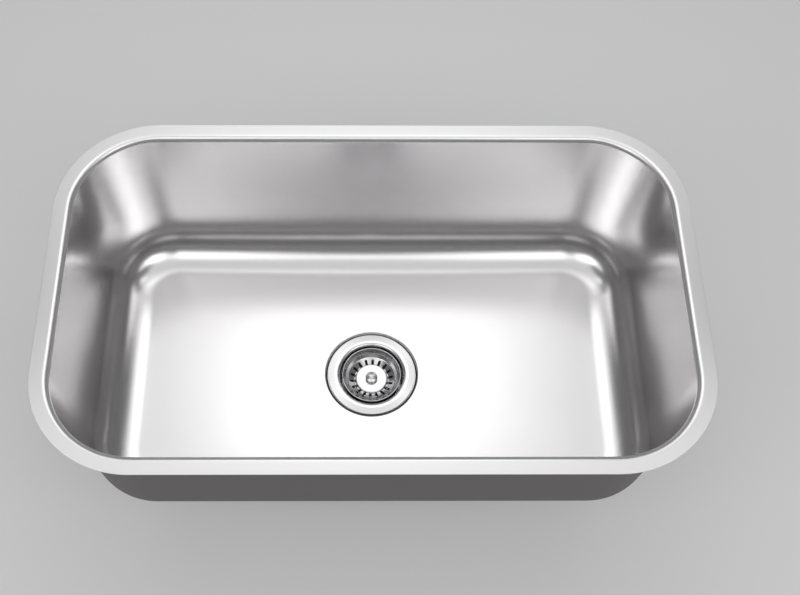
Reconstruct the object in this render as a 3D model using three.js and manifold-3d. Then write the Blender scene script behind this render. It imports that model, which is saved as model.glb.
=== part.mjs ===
// Undermount kitchen sink: a pressed steel bowl with its basket strainer and outlet.
// Millimetres, +Z up, +Y to the back. The origin is the middle of the rim's top face,
// where the underside of the worktop rests.

import * as THREE from 'three';
import { mergeVertices } from 'three/addons/utils/BufferGeometryUtils.js';
import Module from 'manifold-3d';

// ---------------------------------------------------------------------------
// Driving dimensions
// ---------------------------------------------------------------------------

// Fits
const SEAT_GAP = 0.3; // between two pieces that rest on each other
const RUNNING_GAP = 0.3; // between a shaft and its hole, and between threads
const CUT_MARGIN = 2; // how far a cutting shape stands past the face it cuts

// Bowl, pressed from one sheet
const RIM_LENGTH = 762; // left to right, 30 in
const RIM_DEPTH = 457.2; // front to back, 18 in
const RIM_CORNER_R = 120.7;
const MIN_CORNER_R = 5; // tightest corner the sheet can be drawn to
const RIM_FLAT = 15; // width of the flat flange
const SHEET = 1.2;
const LIP_R = 7; // roll from the flange into the wall
const WALL_DRAFT_DEG = 4.4; // lean of the wall from the vertical
const COVE_R = 52; // roll from the wall into the floor
const BOWL_DEPTH = 229; // rim to floor at the drain recess, 9 in
const FLOOR_FALL = 0.009; // slope of the floor towards the drain

// Drain recess in the floor
const DRAIN_Y = -4.5; // drain centre, a little forward of the rim's middle
const RECESS_TOP_R = 61;
const RECESS_FOOT_R = 58.3;
const RECESS_DEPTH = 3.9;
const DRAIN_HOLE_R = 44.5; // 3 1/2 in opening

// Sound pads under the floor
const PAD_LENGTH = 150;
const PAD_DEPTH = 210;
const PAD_THICKNESS = 3;
const PAD_CENTRE_X = 175;

// Strainer body
const FLANGE_R = 57.15; // 4 1/2 in flange
const FLANGE_EDGE = 0.9; // thickness at the rim of the flange
const FLANGE_CROWN = 0.7; // rise from the rim of the flange to the roll
const THROAT_R = 41.3;
const THROAT_ROLL_R = 5.7;
const CUP_FOOT_R = 40.2; // inside, where the wall meets the seat
const CUP_DEPTH = 21.3; // flange underside to the top of the seat
const SEAT_SLOPE_DEG = 32;
const CUP_WALL = 1.6;
const SLEEVE_R = 43.3; // over the thread
const SUMP_R = 22; // inside, below the seat
const LEDGE_DEPTH = 43.7; // flange underside to the ledge that carries the spider
const OUTLET_BORE_R = 19.5;
const OUTLET_R = 23.6; // over the thread
const BODY_HEIGHT = 68.7; // flange underside to the end of the outlet

// Seals and nut that clamp the strainer to the bowl
const SEAL_THICKNESS = 1;
const SEAL_INNER_R = 45.2;
const SEAL_OUTER_R = 56.4;
const GASKET_THICKNESS = 3.2;
const GASKET_R = 56;
const FRICTION_THICKNESS = 0.8;
const FRICTION_R = 55;
const LOCKNUT_HEIGHT = 9;
const LOCKNUT_R = 50;
const LOCKNUT_LUG_R = 57;
const LOCKNUT_LUGS = 8;
const LUG_SHARE = 0.36; // part of each pitch that a lug takes

// Spider, post and nut in the outlet
const SPIDER_THICKNESS = 1.5;
const SPIDER_RING_WIDTH = 2.7;
const SPIDER_ARM_WIDTH = 3;
const SPIDER_ARMS = 4;
const SPIDER_HUB_R = 6.5;
const STUD_R = 2;
const POST_COLLAR_R = 5;
const POST_COLLAR_HEIGHT = 1.5;
const POST_NECK_R = 2.6;
const POST_NECK_HEIGHT = 2.9;
const POST_HEAD_R = 4;
const POST_HEAD_HEIGHT = 4.5;
const POST_NUT_FLATS = 8;
const POST_NUT_HEIGHT = 3;
const STUD_END = 1; // thread that shows past the nut

// Clip under the basket
const CLIP_WALL = 0.8;
const CLIP_HEIGHT = 9.3;
const CLIP_SLITS = 4;
const CLIP_SLIT_WIDTH = 1.2;
const CLIP_SLIT_HEIGHT = 6.5;

// Basket
const BASKET_SHEET = 0.8;
const BASKET_LIP_R = 38.7;
const BASKET_LIP_DROP = 1.9; // below the crown of the flange
const BASKET_BEAD_R = 1.2; // roll along the lip
const BASKET_DEPTH = 15.9; // lip to the bottom of the valley round the middle
const WALL_FOOT_R = 34.4; // where the steep wall turns into the cone
const WALL_FOOT_RISE = 8;
const CONE_R = 31; // where the pierced cone ends
const CONE_SLOPE_DEG = 25;
const VALLEY_ROUND = 1.5;
const PLATEAU_R = 20.9; // raised middle of the basket
const PLATEAU_HEIGHT = 3.4;
const PLATEAU_ROUND = 1.6;
const SLOT_COUNT = 18;
const SLOT_WIDTH = 3;
const SLOT_INNER_R = 21.8;
const SLOT_OUTER_R = 29.6;
const SLOT_START = 0.3; // turn of the first slot, in pitches

// Knob, stem and stopper
const KNOB_R = 8.1;
const KNOB_FOOT_R = 5;
const KNOB_FOOT_RISE = 1.2; // height at which the foot has drawn in to the waist
const KNOB_WAIST_R = 4.3;
const KNOB_HEIGHT = 6.8;
const KNOB_CAP_HEIGHT = 3.2; // domed part above the brim
const STEM_PIN_R = 2.5;
const STEM_PIN_REACH = 3.4; // into the knob
const STEM_COLLAR_R = 6;
const STEM_COLLAR_HEIGHT = 1.4;
const STEM_SHAFT_R = 3.5;
const STEM_FLANGE_R = 7;
const STEM_FLANGE_HEIGHT = 1.2;
const STEM_FOOT_R = 5.5;
const STEM_FOOT_HEIGHT = 1;
const STEM_NECK_R = 2;
const STEM_RIVET_R = 3.2;
const STEM_RIVET_HEIGHT = 1;
const PLATE_R = 24;
const PLATE_THICKNESS = 1;
const STOPPER_R = 31;
const STOPPER_EDGE = 4;
const STOPPER_THICKNESS = 5.5;
const STOPPER_CHAMFER = 0.6;

// Outlet pipe
const WASHER_THICKNESS = 2;
const WASHER_SKIRT = 7.7;
const WASHER_WALL = 1.1;
const TAIL_R = 19.05; // 1 1/2 in tube
const TAIL_WALL = 1;
const TAIL_LENGTH = 100;
const TAIL_FLANGE_R = 22.9;
const TAIL_FLANGE_THICKNESS = 1.2;
const COUPLING_FLATS = 56;
const COUPLING_SIDES = 8;
const COUPLING_GRIP = 14; // length screwed over the outlet
const COUPLING_LIP = 3;

// How finely round shapes are cut into facets
const CORNER_STEPS = 8;
const LIP_STEPS = 3;
const COVE_STEPS = 6;
const FLOOR_STEPS = 2;
const LONG_SIDE_STEPS = 10;
const SHORT_SIDE_STEPS = 4;
const PAD_LENGTH_STEPS = 6;
const PAD_DEPTH_STEPS = 8;
const WIDE_SIDES = 48; // round pieces wider than the hand
const NARROW_SIDES = 32;
const SMALL_SIDES = 24;
const ARC_STEPS = 4;

// ---------------------------------------------------------------------------
// Helpers
// ---------------------------------------------------------------------------

const QUARTER_TURN = Math.PI / 2;
const radians = THREE.MathUtils.degToRad;
const wasm = await Module();
wasm.setup();

/** Six times the volume that a closed indexed geometry holds, negative when it is inside out. */
function signedVolume(geometry) {
  const corners = [new THREE.Vector3(), new THREE.Vector3(), new THREE.Vector3()];
  const { position } = geometry.attributes;
  const { index } = geometry;
  let total = 0;
  for (let i = 0; i < index.count; i += 3) {
    corners.forEach((corner, k) => corner.fromBufferAttribute(position, index.getX(i + k)));
    total += corners[0].dot(corners[1].cross(corners[2]));
  }
  return total;
}

/** Welds a geometry's corners, drops the empty triangles and turns its faces outwards. */
function welded(geometry) {
  const bare = geometry.clone();
  bare.deleteAttribute('normal');
  bare.deleteAttribute('uv');
  const merged = mergeVertices(bare, 1e-4);
  const source = merged.index.array;
  const kept = [];
  for (let i = 0; i < source.length; i += 3) {
    const [a, b, c] = [source[i], source[i + 1], source[i + 2]];
    if (a !== b && b !== c && c !== a) kept.push(a, b, c);
  }
  merged.setIndex(kept);
  if (signedVolume(merged) < 0) {
    for (let i = 0; i < kept.length; i += 3) [kept[i + 1], kept[i + 2]] = [kept[i + 2], kept[i + 1]];
    merged.setIndex(kept);
  }
  return merged;
}

/** Takes each tool's volume out of a geometry. */
function cut(geometry, tools) {
  const [block, ...cutters] = [geometry, ...tools].map((shape) => {
    const closed = welded(shape);
    return new wasm.Manifold(new wasm.Mesh({
      numProp: 3,
      vertProperties: new Float32Array(closed.attributes.position.array),
      triVerts: new Uint32Array(closed.index.array),
    }));
  });
  const mesh = cutters.reduce((rest, cutter) => rest.subtract(cutter), block).getMesh();
  const result = new THREE.BufferGeometry();
  result.setAttribute('position', new THREE.BufferAttribute(mesh.vertProperties, mesh.numProp));
  result.setIndex(new THREE.BufferAttribute(mesh.triVerts, 1));
  return result;
}

/** Turns a section of [radius, height] points about the Z axis. The section closes itself. */
function turned(section, sides) {
  const points = section.map(([radius, height]) => new THREE.Vector2(radius, height));
  if (section[0][0] > 0) points.push(points[0].clone());
  return new THREE.LatheGeometry(points, sides).rotateX(QUARTER_TURN);
}

/** A plain ring or tube about the Z axis. */
function ring(innerR, outerR, bottom, top, sides) {
  return turned([[innerR, bottom], [outerR, bottom], [outerR, top], [innerR, top]], sides);
}

/** Points of an arc about [centreR, centreZ], angles in quarter turns from +radius towards +Z. */
function arc(centreR, centreZ, radius, from, to, steps) {
  return Array.from({ length: steps + 1 }, (_, step) => {
    const angle = (from + ((to - from) * step) / steps) * QUARTER_TURN;
    return [centreR + radius * Math.cos(angle), centreZ + radius * Math.sin(angle)];
  });
}

/** Closed section of a pressed sheet: its upper face, read inwards, and that path one sheet below. */
function sheetSection(face, thickness) {
  const normals = face.slice(1).map(([radius, height], i) => {
    const along = new THREE.Vector2(radius - face[i][0], height - face[i][1]).normalize();
    return new THREE.Vector2(-along.y, along.x);
  });
  const below = face.map(([radius, height], i) => {
    const before = normals[Math.max(i - 1, 0)];
    const after = normals[Math.min(i, normals.length - 1)];
    const reach = thickness / (1 + before.dot(after));
    return [radius + (before.x + after.x) * reach, height + (before.y + after.y) * reach];
  });
  return [...face, ...below.reverse()];
}

/** Corners of a regular polygon about the origin, with a flat side across +X. */
function polygon(cornerR, sides) {
  return Array.from({ length: sides }, (_, i) => {
    const angle = ((i + 0.5) * 2 * Math.PI) / sides;
    return new THREE.Vector2(cornerR * Math.cos(angle), cornerR * Math.sin(angle));
  });
}

/** A flat shape raised from the height bottom. */
function extruded(shape, bottom, height) {
  const settings = { depth: height, bevelEnabled: false, curveSegments: ARC_STEPS };
  return new THREE.ExtrudeGeometry(shape, settings).translate(0, 0, bottom);
}

/** A regular prism about the Z axis, with a round hole when holeR is given. */
function prism(sides, acrossFlats, bottom, height, holeR) {
  const shape = new THREE.Shape(polygon(acrossFlats / 2 / Math.cos(Math.PI / sides), sides));
  if (holeR) shape.holes.push(new THREE.Path(polygon(holeR, SMALL_SIDES)));
  return extruded(shape, bottom, height);
}

/** A named piece with its own material. */
function piece(name, geometry, color, roughness, metalness) {
  const closed = welded(geometry);
  closed.computeVertexNormals();
  const mesh = new THREE.Mesh(closed, new THREE.MeshStandardMaterial({ color, roughness, metalness }));
  mesh.name = name;
  return mesh;
}

const satinSteel = (name, geometry) => piece(name, geometry, 0xc9c7c8, 0.3, 1);
const polishedSteel = (name, geometry) => piece(name, geometry, 0xd6d6d8, 0.15, 1);
const dullZinc = (name, geometry) => piece(name, geometry, 0x9a9a98, 0.5, 1);
const blackRubber = (name, geometry) => piece(name, geometry, 0x26262a, 0.85, 0);
const greyPad = (name, geometry) => piece(name, geometry, 0x4a4848, 0.9, 0);
const whitePlastic = (name, geometry) => piece(name, geometry, 0xe4e2dc, 0.5, 0);
const fibre = (name, geometry) => piece(name, geometry, 0xa88f66, 0.9, 0);

// ---------------------------------------------------------------------------
// Bowl
// ---------------------------------------------------------------------------

const draft = radians(WALL_DRAFT_DEG);
const drainCentre = new THREE.Vector2(0, DRAIN_Y);
const landZ = -BOWL_DEPTH - RECESS_DEPTH; // top of the flat that the strainer's flange sits on

// Centre of the cove's arc, found by running the wall down from the end of the lip
const coveZ = -BOWL_DEPTH + COVE_R;
const wallTop = { inset: RIM_FLAT + LIP_R * Math.cos(draft), z: -LIP_R + LIP_R * Math.sin(draft) };
const wallDrop = wallTop.z - coveZ + COVE_R * Math.sin(draft);
const coveInset = wallTop.inset + wallDrop * Math.tan(draft) + COVE_R * Math.cos(draft);

/** Shares from 1 to -1 along a side of the floor, at equal angles seen from the drain. */
function sideShares(halfLength, distance, steps) {
  const reach = Math.atan2(halfLength, distance);
  return Array.from({ length: steps - 1 }, (_, i) => (
    Math.tan(reach * (1 - (2 * (i + 1)) / steps)) / Math.tan(reach)
  ));
}

const straight = new THREE.Vector2(RIM_LENGTH / 2 - RIM_CORNER_R, RIM_DEPTH / 2 - RIM_CORNER_R);
const sides = [
  sideShares(straight.x, RIM_DEPTH / 2 - coveInset, LONG_SIDE_STEPS),
  sideShares(straight.y, RIM_LENGTH / 2 - coveInset, SHORT_SIDE_STEPS),
];

/** The rim's outline moved inwards, with the same number of points whatever the inset. */
function outline(inset) {
  const radius = Math.max(RIM_CORNER_R - inset, MIN_CORNER_R);
  const centreX = RIM_LENGTH / 2 - inset - radius;
  const centreY = RIM_DEPTH / 2 - inset - radius;
  const corners = [[1, 1], [-1, 1], [-1, -1], [1, -1]].map(([signX, signY], quarter) => (
    Array.from({ length: CORNER_STEPS + 1 }, (_, step) => {
      const angle = (quarter + step / CORNER_STEPS) * QUARTER_TURN;
      const x = signX * centreX + radius * Math.cos(angle);
      return new THREE.Vector2(x, signY * centreY + radius * Math.sin(angle));
    })
  ));
  return corners.flatMap((corner, quarter) => {
    const next = corners[(quarter + 1) % corners.length][0];
    const side = sides[quarter % 2].map((share) => corner.at(-1).clone().lerp(next, (1 - share) / 2));
    return [...corner, ...side];
  });
}

/** How far the floor stands above its level at the recess, where it falls to the drain. */
const fall = (point) => FLOOR_FALL * (point.distanceTo(drainCentre) - RECESS_TOP_R);

/** A ring of the bowl at an inset from the rim; fallShare brings in the slope of the floor. */
function rimRing(inset, z, fallShare = 0) {
  return outline(inset).map((p) => new THREE.Vector3(p.x, p.y, z + fallShare * fall(p)));
}

/** The rings of one face of the sheet, from the rim to the drain hole, at a depth into the sheet. */
function bowlRings(depth) {
  const rings = [rimRing(0, -depth), rimRing(RIM_FLAT, -depth)];
  for (let step = 1; step <= LIP_STEPS; step += 1) {
    const angle = ((QUARTER_TURN - draft) * step) / LIP_STEPS;
    const radius = LIP_R - depth;
    rings.push(rimRing(RIM_FLAT + radius * Math.sin(angle), -LIP_R + radius * Math.cos(angle)));
  }
  for (let step = 0; step <= COVE_STEPS; step += 1) {
    const share = step / COVE_STEPS;
    const angle = draft + (QUARTER_TURN - draft) * share;
    const radius = COVE_R + depth;
    rings.push(rimRing(coveInset - radius * Math.cos(angle), coveZ - radius * Math.sin(angle), share));
  }
  const edge = outline(coveInset);
  const spokes = edge.map((p) => p.clone().sub(drainCentre).normalize());
  const around = (radius, z) => spokes.map((spoke) => {
    const p = spoke.clone().multiplyScalar(radius).add(drainCentre);
    return new THREE.Vector3(p.x, p.y, z);
  });
  const mitre = depth * Math.tan(Math.atan2(RECESS_DEPTH, RECESS_TOP_R - RECESS_FOOT_R) / 2);
  const dish = around(RECESS_TOP_R + mitre, 0);
  for (let step = 1; step <= FLOOR_STEPS; step += 1) {
    rings.push(edge.map((p, i) => {
      const q = p.clone().lerp(new THREE.Vector2(dish[i].x, dish[i].y), step / FLOOR_STEPS);
      return new THREE.Vector3(q.x, q.y, -BOWL_DEPTH - depth + Math.max(fall(q), 0));
    }));
  }
  rings.push(around(RECESS_FOOT_R + mitre, landZ - depth), around(DRAIN_HOLE_R, landZ - depth));
  return rings;
}

/** A closed body over a loop of rings that all have the same number of points. */
function loft(rings) {
  const count = rings[0].length;
  const index = [];
  rings.forEach((_, row) => {
    const nextRow = (row + 1) % rings.length;
    for (let i = 0; i < count; i += 1) {
      const j = (i + 1) % count;
      const [a, b] = [row * count + i, row * count + j];
      const [c, d] = [nextRow * count + i, nextRow * count + j];
      index.push(a, b, d, a, d, c);
    }
  });
  const geometry = new THREE.BufferGeometry().setFromPoints(rings.flat());
  geometry.setIndex(index);
  return geometry;
}

function sinkBowl() {
  return satinSteel('sink_bowl', loft([...bowlRings(0), ...bowlRings(SHEET).reverse()]));
}

/** A pad that follows the slope of the floor's underside. */
function bottomPad(name, centreX) {
  const size = [PAD_LENGTH, PAD_DEPTH, PAD_THICKNESS];
  const plate = new THREE.BoxGeometry(...size, PAD_LENGTH_STEPS, PAD_DEPTH_STEPS);
  plate.translate(centreX, DRAIN_Y, -BOWL_DEPTH - SHEET - SEAT_GAP - PAD_THICKNESS / 2);
  const { position } = plate.attributes;
  for (let i = 0; i < position.count; i += 1) {
    const rise = fall(new THREE.Vector2(position.getX(i), position.getY(i)));
    position.setZ(i, position.getZ(i) + rise);
  }
  return greyPad(name, plate);
}

// ---------------------------------------------------------------------------
// Strainer. From here on, heights are measured from the flat of the recess.
// ---------------------------------------------------------------------------

const flangeUnder = SEAL_THICKNESS + 2 * SEAT_GAP;
const flangeCrown = flangeUnder + FLANGE_EDGE + FLANGE_CROWN;
const cupFoot = flangeUnder - CUP_DEPTH;
const seatRise = Math.tan(radians(SEAT_SLOPE_DEG));
const seatHeight = (radius) => cupFoot - (CUP_FOOT_R - radius) * seatRise;
const ledge = flangeUnder - LEDGE_DEPTH;
const outletEnd = flangeUnder - BODY_HEIGHT;
const acrossSlope = 1 / Math.cos(radians(SEAT_SLOPE_DEG)); // upright height of a unit across the slope

function flangeSeal() {
  const bottom = SEAT_GAP;
  return blackRubber('flange_seal', ring(SEAL_INNER_R, SEAL_OUTER_R, bottom, bottom + SEAL_THICKNESS, WIDE_SIDES));
}

function strainerBody() {
  const shoulder = (radius) => seatHeight(radius) - CUP_WALL * acrossSlope;
  return polishedSteel('strainer_body', turned([
    [FLANGE_R, flangeUnder],
    [FLANGE_R, flangeUnder + FLANGE_EDGE],
    ...arc(THROAT_R + THROAT_ROLL_R, flangeCrown - THROAT_ROLL_R, THROAT_ROLL_R, 1, 2, ARC_STEPS),
    [CUP_FOOT_R, cupFoot],
    [SUMP_R, seatHeight(SUMP_R)],
    [SUMP_R, ledge],
    [OUTLET_BORE_R, ledge],
    [OUTLET_BORE_R, outletEnd],
    [OUTLET_R, outletEnd],
    [OUTLET_R, shoulder(OUTLET_R)],
    [SLEEVE_R, shoulder(SLEEVE_R)],
    [SLEEVE_R, flangeUnder],
  ], WIDE_SIDES));
}

// Clamping stack under the bowl, from the top down
const gasketTop = -SHEET - SEAT_GAP;
const frictionTop = gasketTop - GASKET_THICKNESS - SEAT_GAP;
const locknutTop = frictionTop - FRICTION_THICKNESS - SEAT_GAP;
const overSleeve = SLEEVE_R + RUNNING_GAP;

function rubberGasket() {
  const bottom = gasketTop - GASKET_THICKNESS;
  return blackRubber('rubber_gasket', ring(overSleeve, GASKET_R, bottom, gasketTop, WIDE_SIDES));
}

function frictionRing() {
  const bottom = frictionTop - FRICTION_THICKNESS;
  return fibre('friction_ring', ring(overSleeve, FRICTION_R, bottom, frictionTop, WIDE_SIDES));
}

function locknut() {
  const shape = new THREE.Shape();
  const pitch = (2 * Math.PI) / LOCKNUT_LUGS;
  for (let lug = 0; lug < LOCKNUT_LUGS; lug += 1) {
    const start = lug * pitch;
    const end = start + pitch * LUG_SHARE;
    shape.absarc(0, 0, LOCKNUT_LUG_R, start, end);
    shape.absarc(0, 0, LOCKNUT_R, end, start + pitch);
  }
  shape.closePath();
  shape.holes.push(new THREE.Path(polygon(overSleeve, WIDE_SIDES)));
  return dullZinc('locknut', extruded(shape, locknutTop - LOCKNUT_HEIGHT, LOCKNUT_HEIGHT));
}

// Crossbars, post and nut, from the ledge up
const spiderBottom = ledge + SEAT_GAP;
const spiderTop = spiderBottom + SPIDER_THICKNESS;
const collarBottom = spiderTop + SEAT_GAP;
const collarTop = collarBottom + POST_COLLAR_HEIGHT;
const headBottom = collarTop + POST_NECK_HEIGHT;
const postNutTop = spiderBottom - SEAT_GAP;
const studHoleR = STUD_R + RUNNING_GAP;

function spider() {
  const outerR = SUMP_R - RUNNING_GAP;
  const windowR = outerR - SPIDER_RING_WIDTH;
  const shape = new THREE.Shape(polygon(outerR, NARROW_SIDES));
  shape.holes.push(new THREE.Path(polygon(studHoleR, SMALL_SIDES)));
  const outerTurn = Math.asin(SPIDER_ARM_WIDTH / 2 / windowR);
  const innerTurn = Math.asin(SPIDER_ARM_WIDTH / 2 / SPIDER_HUB_R);
  const pitch = (2 * Math.PI) / SPIDER_ARMS;
  for (let arm = 0; arm < SPIDER_ARMS; arm += 1) {
    const [start, end] = [arm * pitch, (arm + 1) * pitch];
    const window = new THREE.Path();
    window.absarc(0, 0, windowR, start + outerTurn, end - outerTurn);
    window.absarc(0, 0, SPIDER_HUB_R, end - innerTurn, start + innerTurn, true);
    window.closePath();
    shape.holes.push(window);
  }
  return polishedSteel('spider', extruded(shape, spiderBottom, SPIDER_THICKNESS));
}

function centrePost() {
  const studBottom = postNutTop - POST_NUT_HEIGHT - STUD_END;
  const headTop = headBottom + POST_HEAD_HEIGHT;
  return polishedSteel('centre_post', turned([
    [0, studBottom],
    [STUD_R, studBottom],
    [STUD_R, collarBottom],
    [POST_COLLAR_R, collarBottom],
    [POST_COLLAR_R, collarTop],
    [POST_NECK_R, collarTop],
    [POST_NECK_R, headBottom],
    [POST_HEAD_R, headBottom + POST_HEAD_R - POST_NECK_R],
    [POST_HEAD_R, headTop - POST_HEAD_R / 2],
    [POST_HEAD_R / 2, headTop],
    [0, headTop],
  ], SMALL_SIDES));
}

function postNut() {
  const bottom = postNutTop - POST_NUT_HEIGHT;
  return polishedSteel('post_nut', prism(6, POST_NUT_FLATS, bottom, POST_NUT_HEIGHT, studHoleR));
}

// ---------------------------------------------------------------------------
// Basket, stopper and clip: they lift out together
// ---------------------------------------------------------------------------

const lipHeight = flangeCrown - BASKET_LIP_DROP;
const basketFloor = lipHeight - BASKET_DEPTH;
const plateau = basketFloor + PLATEAU_HEIGHT;
const pinHoleR = STEM_PIN_R + RUNNING_GAP;

// The stem hangs from the basket, and the stopper rests on the seat
const collarHeight = plateau - BASKET_SHEET - SEAT_GAP;
const stopperCorner = seatHeight(STOPPER_R) + SEAT_GAP * acrossSlope;
const stopperTop = stopperCorner + STOPPER_EDGE;
const stopperBottom = stopperTop - STOPPER_THICKNESS;
const plateBottom = stopperTop + SEAT_GAP;
const stemFlangeBottom = plateBottom + PLATE_THICKNESS + SEAT_GAP;
const stemFootTop = stopperBottom - SEAT_GAP;
const clipTop = stemFootTop - STEM_FOOT_HEIGHT - SEAT_GAP;
const rivetTop = clipTop - CLIP_WALL - SEAT_GAP;
const overShaft = STEM_SHAFT_R + RUNNING_GAP;

function basketShell() {
  const valleyR = PLATEAU_R + VALLEY_ROUND;
  const plateauRound = Math.min(PLATEAU_ROUND, PLATEAU_HEIGHT - VALLEY_ROUND - BASKET_SHEET / 4);
  const coneTurn = 1 - radians(CONE_SLOPE_DEG) / QUARTER_TURN;
  const coneStart = arc(valleyR, basketFloor + VALLEY_ROUND, VALLEY_ROUND, -coneTurn, -2, ARC_STEPS);
  const coneRise = (CONE_R - coneStart[0][0]) * Math.tan(radians(CONE_SLOPE_DEG));
  const face = [
    ...arc(BASKET_LIP_R - BASKET_BEAD_R, lipHeight - BASKET_BEAD_R, BASKET_BEAD_R, 0, 2, ARC_STEPS),
    [WALL_FOOT_R, basketFloor + WALL_FOOT_RISE],
    [CONE_R, coneStart[0][1] + coneRise],
    ...coneStart,
    ...arc(PLATEAU_R - plateauRound, plateau - plateauRound, plateauRound, 0, 1, ARC_STEPS),
    [pinHoleR, plateau],
  ];
  const shell = turned(sheetSection(face, BASKET_SHEET), WIDE_SIDES);
  const slotLength = SLOT_OUTER_R - SLOT_INNER_R;
  const slots = Array.from({ length: SLOT_COUNT }, (_, i) => {
    const slot = new THREE.BoxGeometry(slotLength, SLOT_WIDTH, BASKET_DEPTH);
    slot.translate(SLOT_INNER_R + slotLength / 2, 0, basketFloor);
    return slot.rotateZ(((i + SLOT_START) * 2 * Math.PI) / SLOT_COUNT);
  });
  return polishedSteel('basket_shell', cut(shell, slots));
}

function basketKnob() {
  const bottom = plateau + SEAT_GAP;
  const brim = bottom + KNOB_HEIGHT - KNOB_CAP_HEIGHT;
  const socketTop = plateau + STEM_PIN_REACH + SEAT_GAP;
  const capR = (KNOB_R ** 2 + KNOB_CAP_HEIGHT ** 2) / (2 * KNOB_CAP_HEIGHT);
  const capStart = Math.acos(KNOB_R / capR) / QUARTER_TURN;
  return polishedSteel('basket_knob', turned([
    [0, socketTop],
    [pinHoleR, socketTop],
    [pinHoleR, bottom],
    [KNOB_FOOT_R, bottom],
    [KNOB_WAIST_R, bottom + KNOB_FOOT_RISE],
    ...arc(0, brim + KNOB_CAP_HEIGHT - capR, capR, capStart, 1, ARC_STEPS),
  ], SMALL_SIDES));
}

function basketStem() {
  const rivetBottom = rivetTop - STEM_RIVET_HEIGHT;
  return polishedSteel('basket_stem', turned([
    [0, plateau + STEM_PIN_REACH],
    [STEM_PIN_R, plateau + STEM_PIN_REACH],
    [STEM_PIN_R, collarHeight],
    [STEM_COLLAR_R, collarHeight],
    [STEM_COLLAR_R, collarHeight - STEM_COLLAR_HEIGHT],
    [STEM_SHAFT_R, collarHeight - STEM_COLLAR_HEIGHT],
    [STEM_SHAFT_R, stemFlangeBottom + STEM_FLANGE_HEIGHT],
    [STEM_FLANGE_R, stemFlangeBottom + STEM_FLANGE_HEIGHT],
    [STEM_FLANGE_R, stemFlangeBottom],
    [STEM_SHAFT_R, stemFlangeBottom],
    [STEM_SHAFT_R, stemFootTop],
    [STEM_FOOT_R, stemFootTop],
    [STEM_FOOT_R, stemFootTop - STEM_FOOT_HEIGHT],
    [STEM_NECK_R, stemFootTop - STEM_FOOT_HEIGHT],
    [STEM_NECK_R, rivetTop],
    [STEM_RIVET_R, rivetTop],
    [STEM_RIVET_R, rivetBottom],
    [0, rivetBottom],
  ], SMALL_SIDES));
}

function stopperPlate() {
  const top = plateBottom + PLATE_THICKNESS;
  return polishedSteel('stopper_plate', ring(overShaft, PLATE_R, plateBottom, top, NARROW_SIDES));
}

function stopper() {
  const bottomR = STOPPER_R - (stopperCorner - stopperBottom) / seatRise;
  return blackRubber('stopper', turned([
    [overShaft, stopperBottom],
    [bottomR, stopperBottom],
    [STOPPER_R, stopperCorner],
    [STOPPER_R, stopperTop - STOPPER_CHAMFER],
    [STOPPER_R - STOPPER_CHAMFER, stopperTop],
    [overShaft, stopperTop],
  ], WIDE_SIDES));
}

function knobClip() {
  const innerR = POST_HEAD_R + RUNNING_GAP;
  const outerR = innerR + CLIP_WALL;
  const bottom = clipTop - CLIP_HEIGHT;
  const cup = turned([
    [STEM_NECK_R + RUNNING_GAP, clipTop - CLIP_WALL],
    [innerR, clipTop - CLIP_WALL],
    [innerR, bottom],
    [outerR, bottom],
    [outerR, clipTop],
    [STEM_NECK_R + RUNNING_GAP, clipTop],
  ], SMALL_SIDES);
  const slits = Array.from({ length: CLIP_SLITS / 2 }, (_, i) => {
    const slit = new THREE.BoxGeometry(2 * (outerR + CUT_MARGIN), CLIP_SLIT_WIDTH, CLIP_SLIT_HEIGHT + CUT_MARGIN);
    slit.translate(0, 0, bottom + (CLIP_SLIT_HEIGHT - CUT_MARGIN) / 2);
    return slit.rotateZ(((i + 0.5) * 2 * Math.PI) / CLIP_SLITS);
  });
  return polishedSteel('knob_clip', cut(cup, slits));
}

// ---------------------------------------------------------------------------
// Outlet pipe, from the end of the strainer's outlet down
// ---------------------------------------------------------------------------

const washerTop = outletEnd - SEAT_GAP;
const tailTop = washerTop - WASHER_THICKNESS - SEAT_GAP;
const couplingLipTop = tailTop - TAIL_FLANGE_THICKNESS - SEAT_GAP;
const tailBoreR = TAIL_R - TAIL_WALL;

function tailpieceWasher() {
  const skirtR = tailBoreR - RUNNING_GAP;
  return whitePlastic('tailpiece_washer', turned([
    [skirtR - WASHER_WALL, washerTop],
    [skirtR - WASHER_WALL, washerTop - WASHER_SKIRT],
    [skirtR, washerTop - WASHER_SKIRT],
    [skirtR, washerTop - WASHER_THICKNESS],
    [TAIL_FLANGE_R, washerTop - WASHER_THICKNESS],
    [TAIL_FLANGE_R, washerTop],
  ], NARROW_SIDES));
}

function tailpiece() {
  return polishedSteel('tailpiece', turned([
    [tailBoreR, tailTop],
    [tailBoreR, tailTop - TAIL_LENGTH],
    [TAIL_R, tailTop - TAIL_LENGTH],
    [TAIL_R, tailTop - TAIL_FLANGE_THICKNESS],
    [TAIL_FLANGE_R, tailTop - TAIL_FLANGE_THICKNESS],
    [TAIL_FLANGE_R, tailTop],
  ], NARROW_SIDES));
}

function couplingNut() {
  const top = outletEnd + COUPLING_GRIP;
  const bottom = couplingLipTop - COUPLING_LIP;
  const threadR = OUTLET_R + RUNNING_GAP;
  const tubeR = TAIL_R + RUNNING_GAP;
  const bore = turned([
    [0, top + CUT_MARGIN],
    [threadR, top + CUT_MARGIN],
    [threadR, couplingLipTop],
    [tubeR, couplingLipTop],
    [tubeR, bottom - CUT_MARGIN],
    [0, bottom - CUT_MARGIN],
  ], NARROW_SIDES);
  const block = prism(COUPLING_SIDES, COUPLING_FLATS, bottom, top - bottom);
  return dullZinc('coupling_nut', cut(block, [bore]));
}

// ---------------------------------------------------------------------------
// Assembly
// ---------------------------------------------------------------------------

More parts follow.
